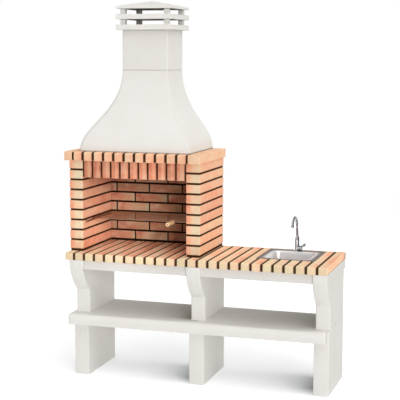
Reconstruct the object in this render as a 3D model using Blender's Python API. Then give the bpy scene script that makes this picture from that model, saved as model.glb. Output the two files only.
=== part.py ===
"""Outdoor masonry barbecue: a brick firebox under a bell hood and a vented chimney cap,
beside a brick worktop with an inset sink and a swan-neck tap, on three concrete legs.

Sizes are in metres. X runs along the worktop from its left end, Y from its front face
to the wall behind it, Z up from the ground. An empty then carries the whole model to
its own frame, whose origin is the middle of its footprint.
"""

import math

import bmesh
import bpy
from mathutils import Matrix, Vector

# Fits shared by all pieces
SEAT = 0.0003
CUT_OVERRUN = 0.010

# Worktop: bricks on edge on a concrete slab, with dark raked joints
DEPTH = 0.625
DECK_TOP = 0.856
DECK_BRICKS = 25
DECK_BRICK_WIDTH = 0.060
DECK_BRICK_HEIGHT = 0.048
DECK_JOINT = 0.012
DECK_NOSE_RADIUS = 0.010
JOINT_RAKE = 0.004
BACK_POINTING = 0.008
SLAB_THICKNESS = 0.062
SLAB_SETBACK = 0.018

# Legs: a plain lower leg, then the shelf, then an upper leg with a corbelled head
LOWER_LEG_WIDTH = 0.101
LOWER_LEG_FRONT = 0.091
UPPER_LEG_WIDTH = 0.096
UPPER_LEG_FRONT = 0.126
LEG_BACK = 0.574
LEFT_LEG_INSET = 0.029
MIDDLE_LEG_CENTRE = 0.900
CORBEL_DROP = 0.221
CORBEL_SAG = 0.028
CORBEL_STEPS = 8
LEG_EDGE_RADIUS = 0.006

# Shelf between the lower and the upper legs
SHELF_TOP = 0.428
SHELF_THICKNESS = 0.073
SHELF_LEFT_OVERHANG = 0.005
SHELF_REBATE = 0.020
SHELF_FRONT = 0.046
SHELF_EDGE_RADIUS = 0.018

# Firebox: two brick columns with a thinner brick wall between them
FIREBOX_WIDTH = 0.924
COLUMN_WIDTH = 0.096
COLUMN_FRONT = 0.092
BACK_WALL = 0.030
COURSES = 9
COURSE_BRICK = 0.060
COURSE_JOINT = 0.008
BED_JOINT = 0.014
BOND_BRICK = 0.238
BOND_JOINT = 0.008
BOND_FIRST_EVEN = 0.180
BOND_FIRST_ODD = 0.041

# Lintel of upright bricks across the firebox mouth
LINTEL_HEIGHT = 0.116
LINTEL_DEPTH = 0.060
LINTEL_BRICKS = 11
LINTEL_JOINT = 0.011

# Crown: the brick frame that carries the hood, open in the middle for the smoke
CROWN_HEIGHT = 0.060
CROWN_SIDE_OVERHANG = 0.014
CROWN_FRONT_OVERHANG = 0.052
CROWN_DEPTH = 0.110
CROWN_BRICKS = 11
CROWN_BRICK = 0.061
CROWN_JOINT = 0.012
CROWN_LEFT_END = 0.054
CROWN_NOSE_RADIUS = 0.014

# Hood: a concrete bell with a straight back, and the flue above it
HOOD_SIDE_SETBACK = 0.073
HOOD_FRONT_SETBACK = 0.048
HOOD_HEIGHT = 0.536
HOOD_WALL = 0.035
HOOD_CORNER_RADIUS = 0.035
HOOD_HEIGHT_SHARES = (0, 0.33, 0.50, 1)
HOOD_INSET_SHARES = (0, 0.02, 0.98, 1)
HOOD_STEPS = 9
FLUE_WIDTH = 0.324
FLUE_DEPTH = 0.310
FLUE_HEIGHT = 0.271
FLUE_WALL = 0.035
FLUE_CORNER_RADIUS = 0.010
CORNER_STEPS = 3

# Chimney cap: two rings on corner posts under a low pyramid
RING_OVERHANG = 0.035
RING_THICKNESS = 0.034
VENT_GAP = 0.036
POST_WIDTH = 0.035
POST_INSET = 0.025
CAP_EDGE = 0.017
CAP_RISE = 0.039
CAP_PEAK = 0.014

# Sink let into the bricks, with its strainer waste and plug
SINK_FIRST_JOINT = 18
SINK_CUT_BRICKS = 5
SINK_CUT_DEPTH = 0.360
SINK_CUT_BACK = 0.048
SINK_RIM_LAP = 0.015
SINK_SHEET = 0.0015
SINK_BOWL_MARGIN = 0.035
SINK_LEDGE = 0.087
SINK_BOWL_DEPTH = 0.125
SINK_BOWL_DRAFT = 0.012
SINK_CORNER_RADIUS = 0.045
SINK_CORNER_STEPS = 5
SINK_RIM_RADIUS = 0.010
SINK_FLOOR_RADIUS = 0.022
WASTE_HOLE_RADIUS = 0.030
WASTE_FLANGE_RADIUS = 0.036
WASTE_FLANGE = 0.003
WASTE_WALL = 0.004
WASTE_LENGTH = 0.026
WASTE_NUT_RADIUS = 0.037
WASTE_NUT = 0.008
PLUG_HEIGHT = 0.005
PLUG_STEM = 0.010
PLUG_DRAFT = 0.002
PLUG_KNOB_RADIUS = 0.007
PLUG_KNOB_NECK = 0.004
PLUG_KNOB_HEIGHT = 0.014
ROUND_SIDES = 24
NUT_SIDES = 6

# Tap: swan neck with a side lever, on the ledge behind the bowl
TAP_FROM_RIM_BACK = 0.042
TAP_FOOT_RADIUS = 0.024
TAP_FOOT = 0.006
TAP_BODY_RADIUS = 0.0165
TAP_BODY = 0.080
TAP_SHANK_RADIUS = 0.011
TAP_SHANK = 0.040
TAP_HOLE_RADIUS = 0.0125
TAP_NUT_RADIUS = 0.020
TAP_NUT = 0.012
SPOUT_COLLAR_RADIUS = 0.013
SPOUT_COLLAR = 0.016
SPOUT_RADIUS = 0.0075
SPOUT_RISE = 0.050
SPOUT_BEND_RADIUS = 0.088
SPOUT_BEND_DEGREES = 162
SPOUT_STEPS = 14
AERATOR_RADIUS = 0.0105
AERATOR = 0.016
BARREL_RADIUS = 0.015
BARREL_HEIGHT = 0.021
BARREL_REACH = 0.024
CARTRIDGE_RADIUS = 0.017
CARTRIDGE = 0.010
LEVER_LENGTH = 0.036
LEVER_WIDTH = 0.016
LEVER_THICKNESS = 0.006
LEVER_LEAN_DEGREES = 35
LEVER_TIP_SHARE = 0.7
PIPE_SIDES = 12

# Cooking grate on two rails in the side walls
GRATE_SETBACK = 0.143
GRATE_TO_WALL = 0.004
GRATE_BAR = 0.006
GRATE_FRAME = 0.008
GRATE_WIRE = 0.004
GRATE_WIRES = 24
GRATE_CROSS_RODS = 3
GRATE_ABOVE_DECK = 0.205
RAIL_RADIUS = 0.006
RAIL_STANDOFF = 0.010
RAIL_SETBACK = 0.048
RAIL_TO_WALL = 0.035
RAIL_BEND_RADIUS = 0.009
RAIL_BEND_STEPS = 4
RAIL_SOCKET_DEPTH = 0.022
HANDLE_FROM_RIGHT = 0.133
HANDLE_RADIUS = 0.0145
HANDLE_LENGTH = 0.122
HANDLE_TO_FRAME = 0.013
HANDLE_END_RADIUS = 0.004
HANDLE_BORE_RADIUS = 0.0046
TANG = 0.006

# Places worked out from the sizes above
DECK_PITCH = DECK_BRICK_WIDTH + DECK_JOINT
DECK_WIDTH = DECK_BRICKS * DECK_PITCH - DECK_JOINT
DECK_BOTTOM = DECK_TOP - DECK_BRICK_HEIGHT
SLAB_BOTTOM = DECK_BOTTOM - SLAB_THICKNESS
LEG_CENTRES = {
    "left": LEFT_LEG_INSET + UPPER_LEG_WIDTH / 2,
    "middle": MIDDLE_LEG_CENTRE,
    "right": DECK_WIDTH - UPPER_LEG_WIDTH / 2,
}
RIGHT_END = LEG_CENTRES["right"] + LOWER_LEG_WIDTH / 2
SHELF_BOTTOM = SHELF_TOP - SHELF_THICKNESS
SHELF_RIGHT = RIGHT_END - SHELF_REBATE

CAVITY_LEFT = COLUMN_WIDTH
CAVITY_RIGHT = FIREBOX_WIDTH - COLUMN_WIDTH
CAVITY_BACK = DEPTH - BACK_WALL
COURSE_PITCH = COURSE_BRICK + COURSE_JOINT
COLUMN_TOP = DECK_TOP + BED_JOINT + COURSES * COURSE_PITCH - COURSE_JOINT
CROWN_FRONT = COLUMN_FRONT - CROWN_FRONT_OVERHANG
CROWN_TOP = COLUMN_TOP + CROWN_HEIGHT
CROWN_ROW_LEFT = CROWN_LEFT_END - CROWN_SIDE_OVERHANG
CROWN_ROW_RIGHT = CROWN_ROW_LEFT + CROWN_BRICKS * (CROWN_BRICK + CROWN_JOINT) + CROWN_JOINT
CROWN_RIGHT = FIREBOX_WIDTH + CROWN_SIDE_OVERHANG
HOOD_TOP = CROWN_TOP + HOOD_HEIGHT
FLUE_LEFT = (FIREBOX_WIDTH - FLUE_WIDTH) / 2
FLUE_FRONT = DEPTH - FLUE_DEPTH
FLUE_TOP = HOOD_TOP + FLUE_HEIGHT
RING_PITCH = RING_THICKNESS + VENT_GAP

SINK_CUT_LEFT = SINK_FIRST_JOINT * DECK_PITCH - DECK_JOINT / 2
SINK_CUT_RIGHT = SINK_CUT_LEFT + SINK_CUT_BRICKS * DECK_PITCH
SINK_CUT_REAR = DEPTH - SINK_CUT_BACK
SINK_CUT_FRONT = SINK_CUT_REAR - SINK_CUT_DEPTH
SINK_CENTRE = (SINK_CUT_LEFT + SINK_CUT_RIGHT) / 2
SINK_RIM_FRONT = SINK_CUT_FRONT - SINK_RIM_LAP
SINK_RIM_REAR = SINK_CUT_REAR + SINK_RIM_LAP
SINK_RIM_LEFT = SINK_CUT_LEFT - SINK_RIM_LAP
SINK_RIM_RIGHT = SINK_CUT_RIGHT + SINK_RIM_LAP
SINK_RIM_BOTTOM = DECK_TOP + SEAT
SINK_RIM_TOP = SINK_RIM_BOTTOM + SINK_SHEET
SINK_FLOOR = SINK_RIM_TOP - SINK_BOWL_DEPTH
WASTE_Y = (SINK_RIM_FRONT + SINK_BOWL_MARGIN + SINK_RIM_REAR - SINK_LEDGE) / 2
WASTE_TOP = SINK_FLOOR + SEAT + WASTE_FLANGE
WASTE_SLEEVE_RADIUS = WASTE_HOLE_RADIUS - SEAT
WASTE_BORE_RADIUS = WASTE_SLEEVE_RADIUS - WASTE_WALL

TAP_Y = SINK_RIM_REAR - TAP_FROM_RIM_BACK
TAP_BOTTOM = SINK_RIM_TOP + SEAT
TAP_TOP = TAP_BOTTOM + TAP_FOOT + TAP_BODY
BARREL_Z = TAP_BOTTOM + BARREL_HEIGHT
BARREL_END = SINK_CENTRE + BARREL_REACH
LEVER_PIVOT_X = BARREL_END + SEAT + CARTRIDGE / 2

GRATE_BOTTOM = DECK_TOP + GRATE_ABOVE_DECK
GRATE_TOP = GRATE_BOTTOM + GRATE_BAR
GRATE_FRONT = COLUMN_FRONT + GRATE_SETBACK
GRATE_BACK = CAVITY_BACK - GRATE_TO_WALL
GRATE_LEFT = CAVITY_LEFT + GRATE_TO_WALL
GRATE_RIGHT = CAVITY_RIGHT - GRATE_TO_WALL
RAIL_Z = GRATE_BOTTOM - SEAT - RAIL_RADIUS
RAIL_FRONT = COLUMN_FRONT + RAIL_SETBACK
RAIL_BACK = CAVITY_BACK - RAIL_TO_WALL
HANDLE_X = CAVITY_RIGHT - HANDLE_FROM_RIGHT
HANDLE_REAR = GRATE_FRONT - HANDLE_TO_FRAME
HANDLE_FRONT = HANDLE_REAR - HANDLE_LENGTH

# For each axis: the two coordinates of an outline that lies across it, and its own
AXES = {"X": (1, 2, 0), "Y": (0, 2, 1), "Z": (0, 1, 2)}


def clear_scene():
    """Remove what a new file holds."""
    for thing in list(bpy.data.objects):
        bpy.data.objects.remove(thing)


def make_material(name, colour, roughness, metallic):
    """A plain Principled material."""
    material = bpy.data.materials.new(name)
    material.use_nodes = True
    shader = material.node_tree.nodes["Principled BSDF"]
    shader.inputs["Base Color"].default_value = (*colour, 1)
    shader.inputs["Roughness"].default_value = roughness
    shader.inputs["Metallic"].default_value = metallic
    return material


def add_object(name, bm, material, parent, origin=(0, 0, 0), smooth=False):
    """Turn a bmesh in worktop coordinates into an object whose own origin is given."""
    bmesh.ops.recalc_face_normals(bm, faces=bm.faces)
    bm.transform(Matrix.Translation(-Vector(origin)))
    mesh = bpy.data.meshes.new(name)
    bm.to_mesh(mesh)
    bm.free()
    if smooth:
        mesh.shade_smooth()
        mesh.set_sharp_from_angle(angle=math.radians(35))
    mesh.materials.append(material)
    thing = bpy.data.objects.new(name, mesh)
    thing.location = origin
    thing.parent = parent
    bpy.context.collection.objects.link(thing)
    return thing


def cut(target, cutter, operation="DIFFERENCE"):
    """Cut or join another object; the other one stays as a hidden guide."""
    cutter.hide_render = True
    cutter.display_type = "WIRE"
    modifier = target.modifiers.new(operation.title(), "BOOLEAN")
    modifier.operation = operation
    modifier.solver = "EXACT"
    modifier.object = cutter


def loft(rings, closed=False):
    """Skin rings of equal length; a closed loft joins its last ring to its first."""
    bm = bmesh.new()
    rows = [[bm.verts.new(point) for point in ring] for ring in rings]
    pairs = list(zip(rows, rows[1:]))
    if closed:
        pairs.append((rows[-1], rows[0]))
    else:
        bm.faces.new(rows[0])
        bm.faces.new(rows[-1])
    for low, high in pairs:
        for i in range(len(low)):
            j = (i + 1) % len(low)
            bm.faces.new((low[i], low[j], high[j], high[i]))
    return bm


def placed(outline, axis, station):
    """Points of a flat outline set across an axis, at one place along it."""
    first, second, along = AXES[axis]
    points = []
    for a, b in outline:
        point = [0, 0, 0]
        point[first], point[second], point[along] = a, b, station
        points.append(point)
    return points


def prism(outline, axis, start, end):
    """An outline extruded along an axis."""
    return loft([placed(outline, axis, start), placed(outline, axis, end)])


def rectangle(low_a, high_a, low_b, high_b):
    """The corners of a rectangle, in order."""
    return [(low_a, low_b), (high_a, low_b), (high_a, high_b), (low_a, high_b)]


def arc(centre, radius, start, end, steps):
    """Points on an arc, with angles in radians."""
    return [
        (
            centre[0] + radius * math.cos(start + (end - start) * i / steps),
            centre[1] + radius * math.sin(start + (end - start) * i / steps),
        )
        for i in range(steps + 1)
    ]


def rounded_rectangle(left, right, front, back, radius, steps=CORNER_STEPS):
    """A rectangle with quarter-circle corners."""
    quarter = math.pi / 2
    corners = (
        (right - radius, front + radius, -quarter),
        (right - radius, back - radius, 0),
        (left + radius, back - radius, quarter),
        (left + radius, front + radius, 2 * quarter),
    )
    points = []
    for x, y, start in corners:
        points += arc((x, y), radius, start, start + quarter, steps)
    return points


def circle(centre_a, centre_b, radius, sides):
    """Points round a circle."""
    return arc((centre_a, centre_b), radius, 0, 2 * math.pi, sides)[:-1]


def nosed_section(front, back, bottom, top, radius):
    """A bar's section, Y by Z, with its upper front edge rounded."""
    nose = arc((front + radius, top - radius), radius, math.pi, math.pi / 2, CORNER_STEPS)
    return [(front, bottom)] + nose + [(back, top), (back, bottom)]


def turned(profile, axis, centre, sides=ROUND_SIDES, hollow=False):
    """A body of revolution; the profile is (radius, place along the axis)."""
    rings = [
        placed(circle(*centre, radius, sides), axis, station) for radius, station in profile
    ]
    return loft(rings, closed=hollow)


def pipe(points, radius, normal):
    """A round bar along points that lie in one plane with the given normal."""
    path = [Vector(point) for point in points]
    across = Vector(normal).normalized()
    rings = []
    for i, point in enumerate(path):
        heading = path[min(i + 1, len(path) - 1)] - path[max(i - 1, 0)]
        side = heading.normalized().cross(across)
        turn = 2 * math.pi / PIPE_SIDES
        rings.append(
            [
                point + radius * (math.cos(turn * k) * side + math.sin(turn * k) * across)
                for k in range(PIPE_SIDES)
            ]
        )
    return loft(rings)


def cells(xs, ys, zs, keep):
    """Union of the boxes of a grid whose centres pass a test, without inner faces."""
    bm = bmesh.new()
    lines = (sorted(set(xs)), sorted(set(ys)), sorted(set(zs)))
    counts = [len(line) - 1 for line in lines]
    corners = {}

    def corner(index):
        if index not in corners:
            corners[index] = bm.verts.new([lines[a][index[a]] for a in range(3)])
        return corners[index]

    def filled(index):
        if any(not 0 <= index[a] < counts[a] for a in range(3)):
            return False
        middle = [(lines[a][index[a]] + lines[a][index[a] + 1]) / 2 for a in range(3)]
        return keep(*middle)

    solid = {
        (i, j, k)
        for i in range(counts[0])
        for j in range(counts[1])
        for k in range(counts[2])
        if filled((i, j, k))
    }
    for index in sorted(solid):
        for a in range(3):
            b, c = [other for other in range(3) if other != a]
            for step in (0, 1):
                beside = list(index)
                beside[a] += 2 * step - 1
                if tuple(beside) in solid:
                    continue
                quad = []
                for db, dc in ((0, 0), (1, 0), (1, 1), (0, 1)):
                    at = list(index)
                    at[a] += step
                    at[b] += db
                    at[c] += dc
                    quad.append(corner(tuple(at)))
                bm.faces.new(quad)
    return bm


def courses(outline_of, axis, start, brick, joint, count):
    """Bricks in a row with raked joints between them: outline_of takes the rake."""
    rings = []
    place = start
    for i in range(count):
        rings.append(placed(outline_of(0), axis, place))
        place += brick
        rings.append(placed(outline_of(0), axis, place))
        if i < count - 1:
            rings.append(placed(outline_of(JOINT_RAKE), axis, place))
            place += joint
            rings.append(placed(outline_of(JOINT_RAKE), axis, place))
    return rings


def soften(bm, radius, chosen):
    """Round the edges whose two ends pass a test."""
    edges = [edge for edge in bm.edges if all(chosen(v.co) for v in edge.verts)]
    bmesh.ops.bevel(bm, geom=edges, offset=radius, segments=2, affect="EDGES", profile=0.5)


def near(value, target):
    """Whether two places are the same but for rounding."""
    return abs(value - target) < SEAT / 2


def build_lower_leg(name, centre, material, parent):
    """A plain post; the right one has an upstand that closes the shelf's end."""
    left = centre - LOWER_LEG_WIDTH / 2
    right = centre + LOWER_LEG_WIDTH / 2
    top = SHELF_BOTTOM - SEAT
    if name.endswith("right"):
        inner = SHELF_RIGHT + SEAT
        outline = [
            (left, 0), (right, 0), (right, SHELF_TOP), (inner, SHELF_TOP),
            (inner, top), (left, top),
        ]
    else:
        outline = rectangle(left, right, 0, top)
    bm = prism(outline, "Y", LOWER_LEG_FRONT, LEG_BACK)
    for side in (left, right):
        soften(bm, LEG_EDGE_RADIUS, lambda v, s=side: near(v.x, s) and near(v.y, LOWER_LEG_FRONT))
    return add_object(name, bm, material, parent)


def build_upper_leg(name, centre, material, parent):
    """A leg whose head curves forward as a corbel and laps the slab's front edge."""
    chord = Vector((UPPER_LEG_FRONT, -CORBEL_DROP))
    radius = (chord.length ** 2 / 4 + CORBEL_SAG ** 2) / (2 * CORBEL_SAG)
    outward = Vector((-CORBEL_DROP, -UPPER_LEG_FRONT)).normalized()
    head = Vector((0, DECK_BOTTOM - SEAT))
    middle = head + chord / 2 - outward * (radius - CORBEL_SAG)
    start = math.atan2(head.y - middle.y, head.x - middle.x)
    foot = head + chord
    end = math.atan2(foot.y - middle.y, foot.x - middle.x)
    if start < 0:
        start += 2 * math.pi
    if end < 0:
        end += 2 * math.pi
    curve = arc(middle, radius, start, end, CORBEL_STEPS)
    shelf = SHELF_TOP + SEAT
    outline = curve + [
        (UPPER_LEG_FRONT, shelf),
        (LEG_BACK, shelf),
        (LEG_BACK, SLAB_BOTTOM - SEAT),
        (SLAB_SETBACK - SEAT, SLAB_BOTTOM - SEAT),
        (SLAB_SETBACK - SEAT, DECK_BOTTOM - SEAT),
    ]
    half = UPPER_LEG_WIDTH / 2
    bm = prism(outline, "X", centre - half, centre + half)
    return add_object(name, bm, material, parent)


def build_shelf(material, parent):
    """The long shelf, rounded along its front and its two ends."""
    left, bottom = -SHELF_LEFT_OVERHANG, SHELF_BOTTOM
    bm = prism(rectangle(left, SHELF_RIGHT, SHELF_FRONT, LEG_BACK), "Z", bottom, SHELF_TOP)
    edges = []
    for edge in bm.edges:
        a, b = (v.co for v in edge.verts)
        on_top = near(a.z, SHELF_TOP) and near(b.z, SHELF_TOP)
        at_back = near(a.y, LEG_BACK) and near(b.y, LEG_BACK)
        front_corner = near(a.x, b.x) and near(a.y, SHELF_FRONT) and near(b.y, SHELF_FRONT)
        if (on_top and not at_back) or front_corner:
            edges.append(edge)
    bmesh.ops.bevel(
        bm, geom=edges, offset=SHELF_EDGE_RADIUS, segments=CORNER_STEPS, affect="EDGES", profile=0.5
    )
    return add_object("shelf_slab", bm, material, parent)


def in_sink_cut(x, y):
    """Whether a place lies in the hole that the sink hangs in."""
    return SINK_CUT_LEFT < x < SINK_CUT_RIGHT and SINK_CUT_FRONT < y < SINK_CUT_REAR


def build_worktop(finish, parent):
    """Slab, mortar and bricks of the worktop, with the sink's hole."""
    slab = cells(
        [0, SINK_CUT_LEFT, SINK_CUT_RIGHT, DECK_WIDTH],
        [SLAB_SETBACK, SINK_CUT_FRONT, SINK_CUT_REAR, DEPTH],
        [SLAB_BOTTOM, DECK_BOTTOM - SEAT],
        lambda x, y, z: not in_sink_cut(x, y),
    )
    add_object("counter_slab", slab, finish["concrete"], parent)

    # The five bricks that meet the sink stop at its hole, and one brick lies behind it
    cut_ends = SINK_CUT_FRONT - DECK_JOINT / 2
    behind = SINK_CUT_REAR + DECK_JOINT / 2
    bricks_back = DEPTH - BACK_POINTING
    for i in range(DECK_BRICKS):
        left = i * DECK_PITCH
        is_cut = SINK_FIRST_JOINT <= i < SINK_FIRST_JOINT + SINK_CUT_BRICKS
        back = cut_ends if is_cut else bricks_back
        section = nosed_section(0, back, DECK_BOTTOM, DECK_TOP, DECK_NOSE_RADIUS)
        bm = prism(section, "X", left, left + DECK_BRICK_WIDTH)
        add_object(f"counter_brick_{i + 1:02d}", bm, finish["brick"], parent)
    rear_left = SINK_CUT_LEFT + DECK_JOINT / 2
    rear_right = SINK_CUT_RIGHT - DECK_JOINT / 2
    rear = prism(
        rectangle(rear_left, rear_right, behind, bricks_back), "Z", DECK_BOTTOM, DECK_TOP
    )
    add_object("counter_brick_rear", rear, finish["brick"], parent)

    # The mortar is a comb between the bricks, with a rim round the sink's hole
    xs = [0, DECK_WIDTH, SINK_CUT_LEFT, SINK_CUT_RIGHT]
    for i in range(1, DECK_BRICKS):
        xs += [i * DECK_PITCH - DECK_JOINT + SEAT, i * DECK_PITCH - SEAT]
    ys = [JOINT_RAKE, cut_ends + SEAT, SINK_CUT_FRONT, SINK_CUT_REAR, behind - SEAT]
    ys += [bricks_back + SEAT, DEPTH]

    def is_mortar(x, y, z):
        if in_sink_cut(x, y):
            return False
        if y > bricks_back:
            return True
        beside_sink = SINK_CUT_LEFT < x < SINK_CUT_RIGHT
        if beside_sink and (cut_ends < y < SINK_CUT_FRONT or SINK_CUT_REAR < y < behind):
            return True
        if rear_left < x < rear_right and y > behind:
            return False
        return x % DECK_PITCH > DECK_BRICK_WIDTH

    mortar = cells(xs, ys, [DECK_BOTTOM, DECK_TOP - JOINT_RAKE], is_mortar)
    add_object("counter_mortar", mortar, finish["mortar"], parent)


def build_column(side, finish, parent):
    """Nine courses on a bed joint, with sockets for the grate's rail."""
    is_left = side == "left"
    left = 0 if is_left else CAVITY_RIGHT
    right = left + COLUMN_WIDTH

    def outline(rake):
        return rectangle(left + rake, right - rake, COLUMN_FRONT + rake, DEPTH - rake)

    bed = DECK_TOP + SEAT
    first = DECK_TOP + BED_JOINT
    rings = [placed(outline(JOINT_RAKE), "Z", bed), placed(outline(JOINT_RAKE), "Z", first)]
    rings += courses(outline, "Z", first, COURSE_BRICK, COURSE_JOINT, COURSES)
    column = add_object(f"firebox_column_{side}", loft(rings), finish["brick"], parent)

    inner = right if is_left else left
    into = -1 if is_left else 1
    for place, y in (("front", RAIL_FRONT), ("back", RAIL_BACK)):
        ends = (inner + into * RAIL_SOCKET_DEPTH, inner - into * CUT_OVERRUN)
        radius = RAIL_RADIUS + SEAT
        socket = turned([(radius, min(ends)), (radius, max(ends))], "X", (y, RAIL_Z), PIPE_SIDES)
        cut(column, add_object(f"socket_{side}_{place}", socket, finish["brick"], parent))


def build_back_wall(finish, parent):
    """Running-bond wall behind the fire, raked on the side that faces it."""
    left, right = CAVITY_LEFT + SEAT, CAVITY_RIGHT - SEAT
    bond_pitch = BOND_BRICK + BOND_JOINT
    first = DECK_TOP + BED_JOINT
    zs = [DECK_TOP + SEAT, first]
    for i in range(COURSES):
        zs += [first + i * COURSE_PITCH, first + i * COURSE_PITCH + COURSE_BRICK]
    xs = [left, right]
    for start in (BOND_FIRST_EVEN, BOND_FIRST_ODD):
        joint = CAVITY_LEFT + start
        while joint + BOND_JOINT < right:
            xs += [joint, joint + BOND_JOINT]
            joint += bond_pitch

    def is_brick(x, z):
        row, above = divmod(z - first, COURSE_PITCH)
        if row < 0 or above > COURSE_BRICK:
            return False
        start = BOND_FIRST_ODD if row % 2 else BOND_FIRST_EVEN
        along = (x - CAVITY_LEFT - start) % bond_pitch
        return along > BOND_JOINT

    face = CAVITY_BACK + JOINT_RAKE
    wall = cells(xs, [CAVITY_BACK, face, DEPTH], zs, lambda x, y, z: y > face or is_brick(x, z))
    add_object("firebox_back_wall", wall, finish["brick"], parent)


def build_lintel(finish, parent):
    """Upright bricks between the columns, with mortar at both ends."""
    span = CAVITY_RIGHT - CAVITY_LEFT
    brick = (span - (LINTEL_BRICKS + 1) * LINTEL_JOINT) / LINTEL_BRICKS
    top = COLUMN_TOP

    def outline(rake):
        return rectangle(
            COLUMN_FRONT + rake, COLUMN_FRONT + LINTEL_DEPTH - rake,
            top - LINTEL_HEIGHT + rake, top - rake,
        )

    left, right = CAVITY_LEFT + SEAT, CAVITY_RIGHT - SEAT
    rings = [placed(outline(JOINT_RAKE), "X", left)]
    rings.append(placed(outline(JOINT_RAKE), "X", CAVITY_LEFT + LINTEL_JOINT))
    rings += courses(outline, "X", CAVITY_LEFT + LINTEL_JOINT, brick, LINTEL_JOINT, LINTEL_BRICKS)
    rings.append(placed(outline(JOINT_RAKE), "X", CAVITY_RIGHT - LINTEL_JOINT))
    rings.append(placed(outline(JOINT_RAKE), "X", right))
    add_object("lintel", loft(rings), finish["brick"], parent)


def build_crown(finish, parent):
    """Front row, two long sides and a rear piece round the smoke opening."""
    bottom, top = COLUMN_TOP + SEAT, CROWN_TOP
    row_back = CROWN_FRONT + CROWN_DEPTH

    def outline(rake):
        return nosed_section(
            CROWN_FRONT + rake, row_back - rake, bottom + rake, top - rake, CROWN_NOSE_RADIUS
        )

    left, right = CROWN_ROW_LEFT + SEAT, CROWN_ROW_RIGHT - SEAT
    first = CROWN_ROW_LEFT + CROWN_JOINT
    rings = [placed(outline(JOINT_RAKE), "X", left), placed(outline(JOINT_RAKE), "X", first)]
    rings += courses(outline, "X", first, CROWN_BRICK, CROWN_JOINT, CROWN_BRICKS)
    rings.append(placed(outline(JOINT_RAKE), "X", CROWN_ROW_RIGHT - CROWN_JOINT))
    rings.append(placed(outline(JOINT_RAKE), "X", right))
    add_object("crown_front", loft(rings), finish["brick"], parent)

    inner = row_back + SEAT
    left_plan = [
        (-CROWN_SIDE_OVERHANG, CROWN_FRONT), (CROWN_ROW_LEFT, CROWN_FRONT),
        (CROWN_ROW_LEFT, inner), (CAVITY_LEFT, inner),
        (CAVITY_LEFT, DEPTH), (-CROWN_SIDE_OVERHANG, DEPTH),
    ]
    right_plan = [
        (CROWN_RIGHT, CROWN_FRONT), (CROWN_RIGHT, DEPTH),
        (CAVITY_RIGHT, DEPTH), (CAVITY_RIGHT, inner),
        (CROWN_ROW_RIGHT, inner), (CROWN_ROW_RIGHT, CROWN_FRONT),
    ]
    for side, plan in (("left", left_plan), ("right", right_plan)):
        add_object(f"crown_{side}", prism(plan, "Z", bottom, top), finish["brick"], parent)
    rear_plan = rectangle(CAVITY_LEFT + SEAT, CAVITY_RIGHT - SEAT, CAVITY_BACK, DEPTH)
    add_object("crown_rear", prism(rear_plan, "Z", bottom, top), finish["brick"], parent)


def bezier(shares, u):
    """A cubic curve through its first and last share, pulled to the two between."""
    v = 1 - u
    a, b, c, d = shares
    return a * v ** 3 + 3 * b * v ** 2 * u + 3 * c * v * u ** 2 + d * u ** 3


def build_hood(finish, parent):
    """Hollow bell that narrows from the crown to the flue."""
    base = (HOOD_SIDE_SETBACK, FIREBOX_WIDTH - HOOD_SIDE_SETBACK, CROWN_FRONT + HOOD_FRONT_SETBACK)
    neck = (FLUE_LEFT, FLUE_LEFT + FLUE_WIDTH, FLUE_FRONT)
    bottom = CROWN_TOP + SEAT
    outer, inner = [], []
    for i in range(HOOD_STEPS + 1):
        inset = bezier(HOOD_INSET_SHARES, i / HOOD_STEPS)
        rise = bezier(HOOD_HEIGHT_SHARES, i / HOOD_STEPS)
        z = bottom + (HOOD_TOP - bottom) * rise
        left, right, front = (a + (b - a) * inset for a, b in zip(base, neck))
        radius = HOOD_CORNER_RADIUS + (FLUE_CORNER_RADIUS - HOOD_CORNER_RADIUS) * inset
        wall = HOOD_WALL + (FLUE_WALL - HOOD_WALL) * inset
        outer.append(placed(rounded_rectangle(left, right, front, DEPTH, radius), "Z", z))
        hollow = rounded_rectangle(
            left + wall, right - wall, front + wall, DEPTH - wall, FLUE_CORNER_RADIUS
        )
        inner.append(placed(hollow, "Z", z))
    add_object("hood", loft(outer + inner[::-1], closed=True), finish["concrete"], parent, smooth=True)


def build_flue(finish, parent):
    """Square flue on the hood."""
    left, right = FLUE_LEFT, FLUE_LEFT + FLUE_WIDTH
    outside = rounded_rectangle(left, right, FLUE_FRONT, DEPTH, FLUE_CORNER_RADIUS)
    inside = rounded_rectangle(
        left + FLUE_WALL, right - FLUE_WALL, FLUE_FRONT + FLUE_WALL, DEPTH - FLUE_WALL,
        FLUE_CORNER_RADIUS,
    )
    bottom = HOOD_TOP + SEAT
    rings = [
        placed(outside, "Z", bottom), placed(outside, "Z", FLUE_TOP),
        placed(inside, "Z", FLUE_TOP), placed(inside, "Z", bottom),
    ]
    add_object("flue", loft(rings, closed=True), finish["concrete"], parent)


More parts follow.
